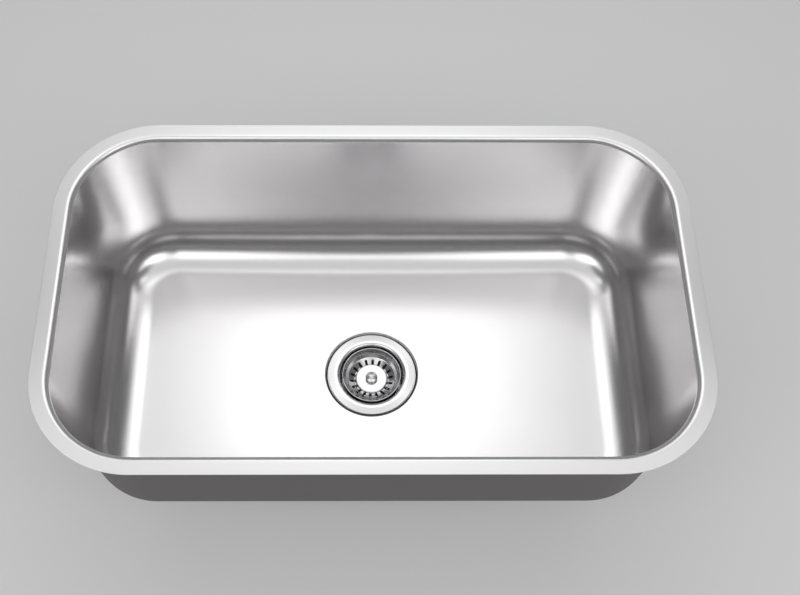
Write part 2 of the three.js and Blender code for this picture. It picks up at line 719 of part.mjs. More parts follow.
const clampedStrainer = new THREE.Group().add(
  flangeSeal(), strainerBody(), rubberGasket(), frictionRing(), locknut(),
  spider(), centrePost(), postNut(),
);
const liftOutBasket = new THREE.Group().add(
  basketShell(), basketKnob(), basketStem(), stopperPlate(), stopper(), knobClip(),
);
const outletPipe = new THREE.Group().add(tailpieceWasher(), tailpiece(), couplingNut());

const drain = new THREE.Group().add(clampedStrainer, liftOutBasket, outletPipe);
drain.position.set(drainCentre.x, drainCentre.y, landZ);

const sink = new THREE.Group().add(
  sinkBowl(),
  bottomPad('bottom_pad_left', -PAD_CENTRE_X),
  bottomPad('bottom_pad_right', PAD_CENTRE_X),
  drain,
);

export default sink;
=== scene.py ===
"""Undermount kitchen sink with a lift-out basket strainer: the visual model.

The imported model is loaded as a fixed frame, and each piece is modelled where the frame has it.
Metres, +Z up, +Y to the back of the bowl; the origin is the middle of the rim's top face.
Sizes in the classes are in millimetres, and MM turns them into metres.
"""

from __future__ import annotations

import logging
import math
from collections.abc import Callable, Iterable
from dataclasses import dataclass, field
from enum import Enum

import bmesh
import bpy
from mathutils import Matrix, Vector

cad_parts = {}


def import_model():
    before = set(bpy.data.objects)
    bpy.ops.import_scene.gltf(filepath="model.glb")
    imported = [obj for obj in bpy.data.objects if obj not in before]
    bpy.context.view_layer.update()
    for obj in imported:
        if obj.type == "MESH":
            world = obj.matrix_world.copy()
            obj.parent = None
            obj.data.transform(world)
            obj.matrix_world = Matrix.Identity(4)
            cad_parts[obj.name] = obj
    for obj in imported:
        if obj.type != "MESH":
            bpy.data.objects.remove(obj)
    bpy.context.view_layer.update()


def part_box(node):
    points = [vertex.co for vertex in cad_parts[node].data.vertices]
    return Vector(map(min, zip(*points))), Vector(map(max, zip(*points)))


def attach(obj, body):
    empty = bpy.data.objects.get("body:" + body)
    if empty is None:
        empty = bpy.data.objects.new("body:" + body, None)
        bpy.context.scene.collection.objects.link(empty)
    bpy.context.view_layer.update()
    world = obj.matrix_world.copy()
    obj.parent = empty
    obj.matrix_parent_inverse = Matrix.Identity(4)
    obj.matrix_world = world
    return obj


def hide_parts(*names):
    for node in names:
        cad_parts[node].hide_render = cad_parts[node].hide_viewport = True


MM = 0.001
FULL_TURN = 2 * math.pi
QUARTER_TURN = math.pi / 2
WELD = 1e-6  # metres; points nearer than this are one point
GAP = 0.3  # millimetres between two pieces that rest on or run in each other
THROUGH = 1.0  # millimetres by which a cutting shape stands past the face it cuts

Colour = tuple[float, float, float]
Range = tuple[float, float]
Socket = bpy.types.NodeSocket
Piece = bpy.types.Object
Shape = bmesh.types.BMesh
Vert = bmesh.types.BMVert
Edge = bmesh.types.BMEdge
Face = bmesh.types.BMFace

log = logging.getLogger("sink")


class Body(str, Enum):
    """The bodies that the frame's joints move."""

    SINK = "sink"
    CLIP = "clip"
    BASKET = "basket"


class Rounded(str, Enum):
    """What an operator rounds off: single points of an outline, or folds between two faces."""

    POINTS = "VERTICES"
    FOLDS = "EDGES"


class Slot(str, Enum):
    """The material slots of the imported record."""

    SATIN = "satin_steel"
    POLISHED = "polished_steel"
    ZINC = "zinc"
    RUBBER = "black_rubber"
    PAD = "pad_rubber"
    NYLON = "white_plastic"
    FIBRE = "fibre"


# ---------------------------------------------------------------------------
# Shader node graphs
# ---------------------------------------------------------------------------


class Graph:
    """A shader node tree that is being wired, with short calls for the nodes that finishes use."""

    def __init__(self, tree: bpy.types.NodeTree) -> None:
        """Starts on an empty tree.

        Args:
            tree: The node tree of a material, a world or a node group.
        """
        self.tree = tree
        tree.nodes.clear()

    def node(self, kind: str, **settings: object) -> bpy.types.Node:
        """Adds a node.

        Args:
            kind: The node's Blender type name.
            **settings: Attributes to set on the node.

        Returns:
            The new node.
        """
        new = self.tree.nodes.new(kind)
        for name, value in settings.items():
            setattr(new, name, value)
        return new

    def feed(self, socket: Socket, value: object) -> None:
        """Sets an input from another node's output or from a plain value."""
        if isinstance(value, Socket):
            self.tree.links.new(value, socket)
        else:
            socket.default_value = value

    def math(self, operation: str, first: object, second: object = 0.0) -> Socket:
        """Adds a Math node and returns its output."""
        new = self.node("ShaderNodeMath", operation=operation)
        self.feed(new.inputs[0], first)
        self.feed(new.inputs[1], second)
        return new.outputs[0]

    def noise(self, vector: object, scale: object, detail: float = 2.0, rough: float = 0.5) -> Socket:
        """Adds a Noise Texture.

        Args:
            vector: Where to read the noise.
            scale: Features per metre.
            detail: Octaves.
            rough: Share of each finer octave.

        Returns:
            The noise value, 0 to 1.
        """
        new = self.node("ShaderNodeTexNoise")
        self.feed(new.inputs["Vector"], vector)
        self.feed(new.inputs["Scale"], scale)
        new.inputs["Detail"].default_value = detail
        new.inputs["Roughness"].default_value = rough
        return new.outputs[0]

    def spread(self, value: object, span: Range = (0.0, 1.0), onto: Range = (0.0, 1.0)) -> Socket:
        """Maps a value from one range onto another, holds it inside and returns it."""
        new = self.node("ShaderNodeMapRange")
        self.feed(new.inputs["Value"], value)
        for name, (low, high) in (("From", span), ("To", onto)):
            new.inputs[f"{name} Min"].default_value = low
            new.inputs[f"{name} Max"].default_value = high
        return new.outputs[0]

    def blend(self, share: object, first: object, second: object) -> Socket:
        """Mixes two numbers and returns the result."""
        new = self.node("ShaderNodeMix", data_type="FLOAT")
        self.feed(new.inputs[0], share)
        self.feed(new.inputs[2], first)
        self.feed(new.inputs[3], second)
        return new.outputs[0]

    def tint(self, share: object, first: object, second: object) -> Socket:
        """Mixes two colours, each a plain colour or another node's output, and returns the result."""
        new = self.node("ShaderNodeMix", data_type="RGBA")
        self.feed(new.inputs[0], share)
        for socket, colour in ((new.inputs[6], first), (new.inputs[7], second)):
            self.feed(socket, colour if isinstance(colour, Socket) else (*colour, 1.0))
        return new.outputs[2]


class NodeGroups:
    """Effects that several finishes share, each built once as a node group."""

    CLOUD_EDGES: Range = (0.2, 0.8)  # noise below and above these is plain
    RUB_SHARE = 0.3  # what small rubs add to the broad marks
    FACING_POWER = 4.0  # how sharply the grain turns round a corner of the bowl
    COARSE_SCALE = 0.22  # size of the coarse bumps' pattern against the fine one's
    COARSE_SHARE = 0.4

    def __init__(self) -> None:
        """Starts with no group built."""
        self.built: dict[str, bpy.types.NodeTree] = {}

    def place(self, graph: Graph, build: Callable[[str], bpy.types.NodeTree], **numbers: float) -> Socket:
        """Puts an effect into a material, and builds its group the first time.

        Args:
            graph: The material's graph.
            build: The method below that builds the effect, whose name the group takes.
            **numbers: The material's own values for the group's inputs.

        Returns:
            The effect's output.
        """
        name = build.__name__
        if name not in self.built:
            self.built[name] = build(name)
        new = graph.node("ShaderNodeGroup", node_tree=self.built[name])
        for socket, number in numbers.items():
            new.inputs[socket].default_value = number
        return new.outputs[0]

    @staticmethod
    def blank(name: str, output: str, **numbers: float) -> tuple[Graph, bpy.types.Node, Socket]:
        """Starts a group with number inputs and one number output.

        Args:
            name: The group's name.
            output: The output's name.
            **numbers: Name and default of each input.

        Returns:
            The graph, its Group Input node and the socket that its result goes to.
        """
        tree = bpy.data.node_groups.new(name, "ShaderNodeTree")
        for socket, default in numbers.items():
            made = tree.interface.new_socket(socket, in_out="INPUT", socket_type="NodeSocketFloat")
            made.default_value = default
        tree.interface.new_socket(output, in_out="OUTPUT", socket_type="NodeSocketFloat")
        graph = Graph(tree)
        return graph, graph.node("NodeGroupInput"), graph.node("NodeGroupOutput").inputs[output]

    @staticmethod
    def brushed_grain(name: str) -> bpy.types.NodeTree:
        """Fine polishing lines that run level round the walls and from side to side on flat faces."""
        graph, inside, grain = NodeGroups.blank(name, "grain", lines=1400.0, length=40.0)
        place = graph.node("ShaderNodeTexCoord")
        across = graph.node("ShaderNodeVectorMath", operation="SCALE")
        graph.feed(across.inputs[0], place.outputs["Object"])
        graph.feed(across.inputs["Scale"], inside.outputs["lines"])
        short = graph.math("DIVIDE", 1.0, inside.outputs["length"])
        lines = []
        for axis in range(2):
            squeeze = graph.node("ShaderNodeCombineXYZ")
            for k, socket in enumerate(squeeze.inputs):
                graph.feed(socket, short if k == axis else 1.0)
            stretched = graph.node("ShaderNodeVectorMath", operation="MULTIPLY")
            graph.feed(stretched.inputs[0], across.outputs[0])
            graph.feed(stretched.inputs[1], squeeze.outputs[0])
            lines.append(graph.noise(stretched.outputs[0], 1.0, detail=3.0))
        facing = graph.node("ShaderNodeSeparateXYZ")
        graph.feed(facing.inputs[0], place.outputs["Normal"])
        sideways = graph.math("POWER", graph.math("ABSOLUTE", facing.outputs[0]), NodeGroups.FACING_POWER)
        graph.feed(grain, graph.blend(sideways, lines[0], lines[1]))
        return graph.tree

    @staticmethod
    def soft_wear(name: str) -> bpy.types.NodeTree:
        """Broad cloudy marks, as from wiping and drying, and small rub marks inside them."""
        graph, inside, wear = NodeGroups.blank(name, "wear", patches=9.0, rubs=90.0)
        place = graph.node("ShaderNodeTexCoord").outputs["Object"]
        broad, small = (
            graph.spread(graph.noise(place, inside.outputs[size], 1.0, 0.4), NodeGroups.CLOUD_EDGES)
            for size in ("patches", "rubs")
        )
        graph.feed(wear, graph.blend(NodeGroups.RUB_SHARE, broad, small))
        return graph.tree

    @staticmethod
    def fine_speckle(name: str) -> bpy.types.NodeTree:
        """Small rounded bumps, as on a sprayed coat, a cast face or moulded rubber."""
        graph, inside, speckle = NodeGroups.blank(name, "speckle", bumps=700.0)
        place = graph.node("ShaderNodeTexCoord").outputs["Object"]
        coarse_bumps = graph.math("MULTIPLY", inside.outputs["bumps"], NodeGroups.COARSE_SCALE)
        fine = graph.noise(place, inside.outputs["bumps"], 3.0, 0.6)
        coarse = graph.noise(place, coarse_bumps)
        graph.feed(speckle, graph.blend(NodeGroups.COARSE_SHARE, fine, coarse))
        return graph.tree


GROUPS = NodeGroups()


# ---------------------------------------------------------------------------
# Finishes
# ---------------------------------------------------------------------------


@dataclass(frozen=True)
class Finish:
    """A material: a base colour with a second tone in its wear, and roughness and relief that vary."""

    name: str
    colour: Colour
    worn: Colour
    metallic: float
    roughness: Range
    relief: float
    relief_depth: float  # metres
    relief_in_roughness: float = 0.35

    def height(self, graph: Graph) -> Socket:
        """Returns the surface relief, 0 to 1."""
        return GROUPS.place(graph, NodeGroups.fine_speckle)

    def material(self) -> bpy.types.Material:
        """Builds the material, or returns it when it has been built.

        Returns:
            The Blender material of this finish.
        """
        known = bpy.data.materials.get(self.name)
        if known:
            return known
        made = bpy.data.materials.new(self.name)
        made.use_nodes = True
        graph = Graph(made.node_tree)
        shader = graph.node("ShaderNodeBsdfPrincipled")
        output = graph.node("ShaderNodeOutputMaterial")
        graph.feed(output.inputs["Surface"], shader.outputs[0])
        shader.inputs["Metallic"].default_value = self.metallic
        mask = GROUPS.place(graph, NodeGroups.soft_wear)
        relief = self.height(graph)
        graph.feed(shader.inputs["Base Color"], self.tone(graph, mask))
        graph.feed(shader.inputs["Roughness"], self.rough(graph, mask, relief))
        bump = graph.node("ShaderNodeBump")
        bump.inputs["Strength"].default_value = self.relief
        bump.inputs["Distance"].default_value = self.relief_depth
        graph.feed(bump.inputs["Height"], relief)
        graph.feed(shader.inputs["Normal"], bump.outputs[0])
        return made

    def tone(self, graph: Graph, mask: Socket) -> Socket:
        """Returns the colour, between the two tones."""
        return graph.tint(mask, self.colour, self.worn)

    def rough(self, graph: Graph, mask: Socket, relief: Socket) -> Socket:
        """Returns the roughness, between the finish's two limits, from the wear and the relief."""
        return graph.spread(graph.blend(self.relief_in_roughness, mask, relief), onto=self.roughness)


@dataclass(frozen=True)
class BrushedFinish(Finish):
    """A steel finish whose relief is polishing lines: how many a metre holds, and how many times
    as long as wide they are."""

    lines: float = 1400.0
    length: float = 40.0

    def height(self, graph: Graph) -> Socket:
        """Returns the polishing lines."""
        return GROUPS.place(graph, NodeGroups.brushed_grain, lines=self.lines, length=self.length)


@dataclass(frozen=True)
class SheetFinish(BrushedFinish):
    """The bowl's steel: brushed all over, duller on the rim and round the lip, and painted paler there as
    painted light.
    """

    # painted light: a paler colour on the rim and round the lip
    rim_tone: Colour = (0.88, 0.88, 0.885)
    rim_roughness: float = 0.32
    rim_heights: Range = (-0.009, -0.002)  # metres, where the rim's look starts and is full

    def near_rim(self, graph: Graph) -> Socket:
        """Returns a mask that is 0 on the walls and 1 on the rim."""
        place = graph.node("ShaderNodeSeparateXYZ")
        graph.feed(place.inputs[0], graph.node("ShaderNodeTexCoord").outputs["Object"])
        return graph.spread(place.outputs[2], self.rim_heights)

    def tone(self, graph: Graph, mask: Socket) -> Socket:
        """Returns the colour, painted paler towards the rim as painted light."""
        return graph.tint(self.near_rim(graph), super().tone(graph, mask), self.rim_tone)

    def rough(self, graph: Graph, mask: Socket, relief: Socket) -> Socket:
        """Returns the roughness, duller towards the rim."""
        return graph.blend(self.near_rim(graph), super().rough(graph, mask, relief), self.rim_roughness)


METAL = 1.0
PLAIN = 0.0
FINE = 0.00001  # metres of relief in polished steel

SATIN_STEEL = SheetFinish(
    "satin_steel_sheet", (0.81, 0.80, 0.805), (0.78, 0.77, 0.775), METAL, (0.21, 0.25), 0.2, FINE,
)
FLANGE_STEEL = BrushedFinish(
    "polished_strainer_steel", (0.74, 0.74, 0.75), (0.69, 0.69, 0.695), METAL, (0.12, 0.24), 0.12, FINE,
    lines=2200.0, length=12.0,
)
# painted shade: the basket's polished steel as a darker copy of the flange's steel, for the basket set down
# in the drain
BASKET_STEEL_PAINTED_SHADE = BrushedFinish(
    "basket_steel_painted_shade", (0.63, 0.63, 0.64), (0.58, 0.58, 0.585), METAL, (0.12, 0.22), 0.12, FINE,
    lines=2200.0, length=12.0,
)
KNOB_STEEL = Finish(
    "turned_knob_steel", (0.72, 0.72, 0.73), (0.68, 0.68, 0.69), METAL, (0.26, 0.32), 0.05, FINE,
)
BRIGHT_STEEL = Finish(
    "bright_steel", (0.83, 0.83, 0.84), (0.78, 0.78, 0.785), METAL, (0.08, 0.18), 0.05, FINE,
)
ZINC_PLATE = Finish("dull_zinc", (0.50, 0.50, 0.49), (0.36, 0.36, 0.355), METAL, (0.32, 0.5), 0.4, 0.0002)
# a sound undercoat under the bowl, whose dark tone is painted shade for the outside walls under the rim
UNDERCOAT_PAINTED_SHADE = Finish(
    "undercoat_painted_shade", (0.122, 0.112, 0.113), (0.155, 0.144, 0.144), PLAIN, (0.45, 0.62), 0.8, 0.0006,
)
PAD_RUBBER = Finish(
    "sound_pad_rubber", (0.028, 0.028, 0.029), (0.045, 0.044, 0.044), PLAIN, (0.6, 0.8), 0.5, 0.0003,
)
BLACK_RUBBER = Finish(
    "black_rubber_seal", (0.018, 0.018, 0.019), (0.032, 0.031, 0.031), PLAIN, (0.42, 0.6), 0.3, 0.0001,
)
NYLON = Finish("milky_nylon", (0.76, 0.75, 0.70), (0.68, 0.67, 0.62), PLAIN, (0.35, 0.5), 0.15, 0.0001)
FIBRE_RING = Finish("pressed_fibre", (0.36, 0.25, 0.14), (0.27, 0.18, 0.10), PLAIN, (0.7, 0.9), 0.6, 0.0003)


# ---------------------------------------------------------------------------
# Mesh work
# ---------------------------------------------------------------------------


@dataclass(frozen=True)
class Corner:
    """A corner of a section, all in millimetres: its radius and height, and the fillet that
    rounds it off."""

    r: float
    z: float
    fillet: float = 0.0


@dataclass(frozen=True)
class Room:
    """The space that the frame gives a round node, in millimetres: its lowest and highest
    points, its outer radius, and where its axis stands front to back."""

    bottom: float
    top: float
    radius: float
    y: float

    @staticmethod
    def of(node: str) -> Room:
        """Reads a node's space from the frame."""
        low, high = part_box(node)
        return Room(low[2] / MM, high[2] / MM, (high[0] - low[0]) / 2 / MM, (low[1] + high[1]) / 2 / MM)

    @property
    def axis(self) -> Vector:
        """The foot of the axis at height zero, in metres."""
        return Vector((0.0, self.y, 0.0)) * MM


def new_object(name: str, data: bpy.types.ID) -> Piece:
    """Puts a mesh, a lamp or a camera into the scene as an object at the origin."""
    made = bpy.data.objects.new(name, data)
    bpy.context.scene.collection.objects.link(made)
    return made


def new_mesh(name: str, bm: Shape) -> bpy.types.Mesh:
    """Turns a bmesh into a mesh, and frees it."""
    mesh = bpy.data.meshes.new(name)
    bm.to_mesh(mesh)
    bm.free()
    return mesh


def finish_object(name: str, bm: Shape, finish: Finish) -> Piece:
    """Turns a bmesh into an object with one finish.

    Args:
        name: The piece's name.
        bm: The shape, in metres, which is freed.
        finish: Its finish.

    Returns:
        The new object, linked to the scene, at the origin.
    """
    mesh = new_mesh(name, bm)
    mesh.materials.append(finish.material())
    return new_object(name, mesh)


def upward(height: float) -> Vector:
    """A step of a height in millimetres along the upright axis, in metres."""
    return Vector((0.0, 0.0, height * MM))


def everything(bm: Shape) -> list[Vert | Edge | Face]:
    """All points, edges and faces of a shape."""
    return bm.verts[:] + bm.edges[:] + bm.faces[:]


def points_of(parts: Iterable[Vert | Edge | Face]) -> list[Vert]:
    """Picks the points out of what an operator gives back."""
    return [part for part in parts if isinstance(part, Vert)]


def move(bm: Shape, step: Vector) -> None:
    """Moves a whole shape by a step in metres."""
    bmesh.ops.translate(bm, verts=bm.verts[:], vec=step)


def settle(bm: Shape) -> None:
    """Merges doubled points and turns the faces outwards."""
    bmesh.ops.remove_doubles(bm, verts=bm.verts[:], dist=WELD)
    bmesh.ops.recalc_face_normals(bm, faces=bm.faces[:])


def rectangle(bm: Shape, length: float, width: float, squares: int = 1) -> None:
    """Lays a flat rectangle about the origin.

    Args:
        bm: The empty bmesh to lay it in.
        length: Along X, in metres.
        width: Along Y, in metres.
        squares: How many faces it has each way.
    """
    bmesh.ops.create_grid(bm, x_segments=squares, y_segments=squares, size=0.5)
    bmesh.ops.scale(bm, verts=bm.verts[:], vec=(length, width, 1.0))


def round_off(
    bm: Shape, parts: list[Vert] | list[Edge], offset: float, segments: int, what: Rounded,
) -> None:
    """Rounds points or folds.

    Args:
        bm: The shape.
        parts: The points or the folds' edges.
        offset: How far from each the round starts, in metres.
        segments: Facets of each round.
        what: Whether the parts are points or folds.
    """
    bmesh.ops.bevel(
        bm, geom=parts, offset=offset, offset_type="OFFSET", segments=segments,
        profile=0.5, affect=what.value, material=-1,
    )


def baked(piece: Piece) -> Piece:
    """Applies a piece's modifiers to its mesh.

    Args:
        piece: The object with live modifiers.

    Returns:
        The same object, with none.
    """
    bpy.context.view_layer.update()
    graph = bpy.context.evaluated_depsgraph_get()
    shaped = bpy.data.meshes.new_from_object(piece.evaluated_get(graph), depsgraph=graph)
    shaped.name = piece.name
    old = piece.data
    piece.modifiers.clear()
    piece.data = shaped
    bpy.data.meshes.remove(old)
    return piece


def smoothed(piece: Piece, crease_deg: float = 32.0) -> Piece:
    """Shades a piece smooth, with its flat faces kept flat up to their rounded edges.

    Args:
        piece: The object, whose modifiers are applied.
        crease_deg: Edges that turn by more than this stay sharp.

    Returns:
        The same object.
    """
    baked(piece)
    mesh = piece.data
    mesh.polygons.foreach_set("use_smooth", [True] * len(mesh.polygons))
    mesh.set_sharp_from_angle(angle=math.radians(crease_deg))
    weighted = piece.modifiers.new("even_shading", "WEIGHTED_NORMAL")
    weighted.keep_sharp = True
    return baked(piece)


def add_sheet(piece: Piece, sheet: float) -> bpy.types.Modifier:
    """Gives a drawn face its sheet thickness, in millimetres, below it, and returns the modifier."""
    wall = piece.modifiers.new("sheet", "SOLIDIFY")
    wall.thickness = sheet * MM
    wall.offset = -1.0
    wall.use_even_offset = True
    return wall


def add_bevel(piece: Piece, width: float, segments: int = 2, angle_deg: float = 40.0) -> None:
    """Rounds a piece's sharp edges with a Bevel modifier.

    Args:
        piece: The object.
        width: Bevel width in millimetres.
        segments: Facets across the bevel.
        angle_deg: Only edges that turn by more than this are rounded.
    """
    bevel = piece.modifiers.new("edge_round", "BEVEL")
    bevel.width = width * MM
    bevel.segments = segments
    bevel.limit_method = "ANGLE"
    bevel.angle_limit = math.radians(angle_deg)


def carve(piece: Piece, cutter: Shape) -> Piece:
    """Takes a closed shape out of a piece.

    Args:
        piece: The object to cut.
        cutter: The cutting shape, in metres, which is freed.

    Returns:
        The same object, cut.
    """
    mesh = new_mesh("cutter", cutter)
    tool = new_object("cutter", mesh)
    cut = piece.modifiers.new("cut", "BOOLEAN")
    cut.operation = "DIFFERENCE"
    cut.solver = "EXACT"
    cut.object = tool
    baked(piece)
    bpy.data.objects.remove(tool)
    bpy.data.meshes.remove(mesh)
    return piece


def section(bm: Shape, corners: list[Corner], closed: bool, segments: int) -> None:
    """Draws a section in the XZ plane with its corners rounded, as edges alone.

    Args:
        bm: The empty bmesh to draw in.
        corners: The section's corners in order.
        closed: Whether the last corner joins the first.
        segments: Facets of each rounded corner.
    """
    points = [Vector((c.r * MM, 0.0, c.z * MM)) for c in corners]
    verts = [bm.verts.new(point) for point in points]
    bm.faces.new(verts)
    for i, corner in enumerate(corners):
        if corner.fillet <= 0:
            continue
        back = points[i - 1] - points[i]
        ahead = points[(i + 1) % len(points)] - points[i]
        turn = math.pi - back.angle(ahead)
        round_off(bm, [verts[i]], corner.fillet * MM * math.tan(turn / 2), segments, Rounded.POINTS)
    bmesh.ops.delete(bm, geom=bm.faces[:], context="FACES_ONLY")
    if not closed:
        bmesh.ops.delete(bm, geom=[bm.edges.get((verts[0], verts[-1]))], context="EDGES")


def revolve(bm: Shape, sides: int, axis: Vector) -> None:
    """Spins the edges of a section once round the upright axis that stands on a point."""
    on_axis = [e for e in bm.edges if all(abs(v.co.x) < WELD for v in e.verts)]
    bmesh.ops.delete(bm, geom=on_axis, context="EDGES")
    bmesh.ops.spin(
        bm, geom=bm.verts[:] + bm.edges[:], cent=(0, 0, 0), axis=(0, 0, 1), dvec=(0, 0, 0),
        angle=FULL_TURN, steps=sides, use_merge=True, use_normal_flip=False, use_duplicate=False,
    )
    settle(bm)
    move(bm, axis)


def solid_of_revolution(corners: list[Corner], axis: Vector, sides: int = 96, segments: int = 4) -> Shape:
    """Makes a closed round shape from its section.

    Args:
        corners: The closed section; corners at radius 0 lie on the axis.
        axis: The foot of the axis, in metres.
        sides: Facets round the axis.
        segments: Facets of each rounded corner.

    Returns:
        The shape.
    """
    bm = bmesh.new()
    section(bm, corners, True, segments)
    revolve(bm, sides, axis)
    return bm


def turned(
    name: str, corners: list[Corner], finish: Finish, axis: Vector, sides: int = 96, segments: int = 4,
) -> Piece:
    """Makes a turned piece. The arguments are those of solid_of_revolution, and the piece's
    name and finish."""
    return finish_object(name, solid_of_revolution(corners, axis, sides, segments), finish)


def pressed(
    name: str, corners: list[Corner], sheet: float, finish: Finish, axis: Vector, sides: int,
    segments: int = 5,
) -> Piece:
    """Makes a round piece pressed from sheet.

    Args:
        name: The piece's name.
        corners: The section of the upper face, from the outside in.
        sheet: Sheet thickness in millimetres.
        finish: Its finish.
        axis: The foot of the axis, in metres.
        sides: Facets round the axis.
        segments: Facets of each rounded corner.

    Returns:
        The piece, with its thickness below the drawn face.
    """
    bm = bmesh.new()
    section(bm, corners, False, segments)
    revolve(bm, sides, axis)
    if max(bm.faces, key=lambda f: abs(f.normal.z) * f.calc_area()).normal.z < 0:
        bmesh.ops.reverse_faces(bm, faces=bm.faces[:])
    made = finish_object(name, bm, finish)
    add_sheet(made, sheet)
    return baked(made)


def ring_corners(inner: float, outer: float, bottom: float, top: float, fillet: float) -> list[Corner]:
    """The section of a plain ring with all four corners rounded alike, in millimetres."""
    return [Corner(r, z, fillet) for r, z in ((inner, bottom), (outer, bottom), (outer, top), (inner, top))]


@dataclass(frozen=True)
class Thread:
    """A screw thread, drawn as level grooves: the pitch and the groove's depth in millimetres,
    and the shares of the pitch that each flank and the flat crest take."""

    pitch: float
    depth: float
    flank: float = 0.36
    crest: float = 0.16

    def corners(self, radius: float, bottom: float, top: float) -> list[Corner]:
        """Draws the thread's zigzag.

        Args:
            radius: Over the crests, in millimetres.
            bottom: Where the first groove starts.
            top: Where the last groove has to end.

        Returns:
            The corners of each groove, from the bottom up.
        """
        corners: list[Corner] = []
        for groove in range(int((top - bottom) / self.pitch)):
            start = bottom + groove * self.pitch
            corners += [
                Corner(radius, start),
                Corner(radius - self.depth, start + self.flank * self.pitch),
                Corner(radius - self.depth, start + (1 - self.flank - self.crest) * self.pitch),
                Corner(radius, start + (1 - self.crest) * self.pitch),
            ]
        return corners


PIPE_THREAD = Thread(2.2, 0.7)
NUT_THREAD = Thread(2.2, 0.35)
STUD_THREAD = Thread(0.7, 0.25)
ROUND_END = 0.98  # share of the half width that a bar's round end takes, short of a doubled point


def stadium(length: float, width: float, height: float, segments: int = 5) -> Shape:
    """Makes an upright bar with round ends that lies along X about the origin.

    Args:
        length: Over the round ends, in millimetres.
        width: Across, in millimetres.
        height: Upright, in millimetres.
        segments: Facets of half a round end.

    Returns:
        The closed shape, in metres.
    """
    bm = bmesh.new()
    rectangle(bm, length * MM, width * MM)
    round_off(bm, bm.verts[:], width * MM / 2 * ROUND_END, segments, Rounded.POINTS)
    raise_outline(bm, height)
    return bm


def raise_outline(bm: Shape, height: float) -> None:
    """Makes a flat outline's faces a closed block of a height in millimetres, half of it below zero."""
    grown = bmesh.ops.extrude_face_region(bm, geom=bm.faces[:])["geom"]
    bmesh.ops.translate(bm, verts=points_of(grown), vec=upward(height))
    move(bm, upward(-height / 2))
    settle(bm)


def around(shape: Shape, count: int, first_turn: float = 0.0) -> Shape:
    """Repeats a shape round the Z axis.

    Args:
        shape: The shape in its place at turn zero.
        count: How many copies the full turn has.
        first_turn: Where the first one stands, in pitches.

    Returns:
        The same bmesh, with all copies.
    """
    first = everything(shape)
    pitch = FULL_TURN / count
    for copy in range(1, count):
        verts = points_of(bmesh.ops.duplicate(shape, geom=first)["geom"])
        bmesh.ops.rotate(shape, verts=verts, cent=(0, 0, 0), matrix=Matrix.Rotation(copy * pitch, 3, "Z"))
    start = Matrix.Rotation(first_turn * pitch, 3, "Z")
    bmesh.ops.rotate(shape, verts=shape.verts[:], cent=(0, 0, 0), matrix=start)
    return shape


def prism(sides: int, flats: float, bottom: float, top: float, axis: Vector) -> Shape:
    """Makes a regular upright prism with a flat side across +X.

    Args:
        sides: How many sides it has.
        flats: Width across two flats in millimetres.
        bottom: Height of its underside.
        top: Height of its upper face.
        axis: The foot of the axis, in metres.

    Returns:
        The closed shape.
    """
    bm = bmesh.new()
    half = math.pi / sides
    bmesh.ops.create_circle(
        bm, cap_ends=True, radius=flats / 2 * MM / math.cos(half), segments=sides,
        matrix=Matrix.Rotation(half, 4, "Z"),
    )
    raise_outline(bm, top - bottom)
    move(bm, axis + upward((top + bottom) / 2))
    return bm


CONE_START = 0.97  # where a nut's coned end starts, as a share of its half width
CONE_REACH = 1.1  # how far past the nut's corners the cone is cut


def nut(
    name: str, sides: int, flats: float, room: Room, bore: list[Corner], finish: Finish, chamfer: float,
) -> Piece:
    """Makes a nut: a prism with coned ends and a bore.

    Args:
        name: The piece's name.
        sides: How many flats it has.
        flats: Width across flats in millimetres.
        room: The space that it fills.
        bore: The closed section of the bore.
        finish: Its finish.
        chamfer: How far the cone comes down at the corners, in millimetres.

    Returns:
        The piece.
    """
    made = finish_object(name, prism(sides, flats, room.bottom, room.top, room.axis), finish)
    corner = flats / 2 / math.cos(math.pi / sides)
    flat = flats / 2 * CONE_START
    wide = corner * CONE_REACH
    drop = chamfer * (wide - flat) / (corner - flat)
    for end, inward in ((room.top, -1), (room.bottom, 1)):
        past = end - inward * THROUGH
        trim = [Corner(flat, end), Corner(flat, past), Corner(wide, past), Corner(wide, end + inward * drop)]
        carve(made, solid_of_revolution(trim, room.axis))
    return carve(made, solid_of_revolution(bore, room.axis))


def declare(piece: Piece, body: Body, slot: Slot, *nodes: str) -> Piece:
    """Tells the frame which body moves a piece and which nodes it stands for.

    Args:
        piece: The finished object.
        body: The body that it rides on.
        slot: The record's material slot, which is not used.
        *nodes: The frame's nodes that it replaces.

    Returns:
        The same object.
    """
    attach(piece, body.value)
    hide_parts(*nodes)
    log.info("%s: %d faces on body %s", piece.name, len(piece.data.polygons), body.value)
    return piece


def turned_piece(
    node: str, corners: list[Corner], finish: Finish, body: Body, slot: Slot,
    sides: int = 96, segments: int = 4,
) -> Piece:
    """Makes, smooths and declares a turned piece that stands for one node and has its name.

    Args:
        node: The frame's node.
        corners: The closed section.
        finish: Its finish.
        body: The body that it rides on.
        slot: The record's material slot.
        sides: Facets round the axis.
        segments: Facets of each rounded corner.

    Returns:
        The finished piece.
    """
    made = turned(node, corners, finish, Room.of(node).axis, sides, segments)
    return declare(smoothed(made), body, slot, node)


# ---------------------------------------------------------------------------
# Bowl
# ---------------------------------------------------------------------------


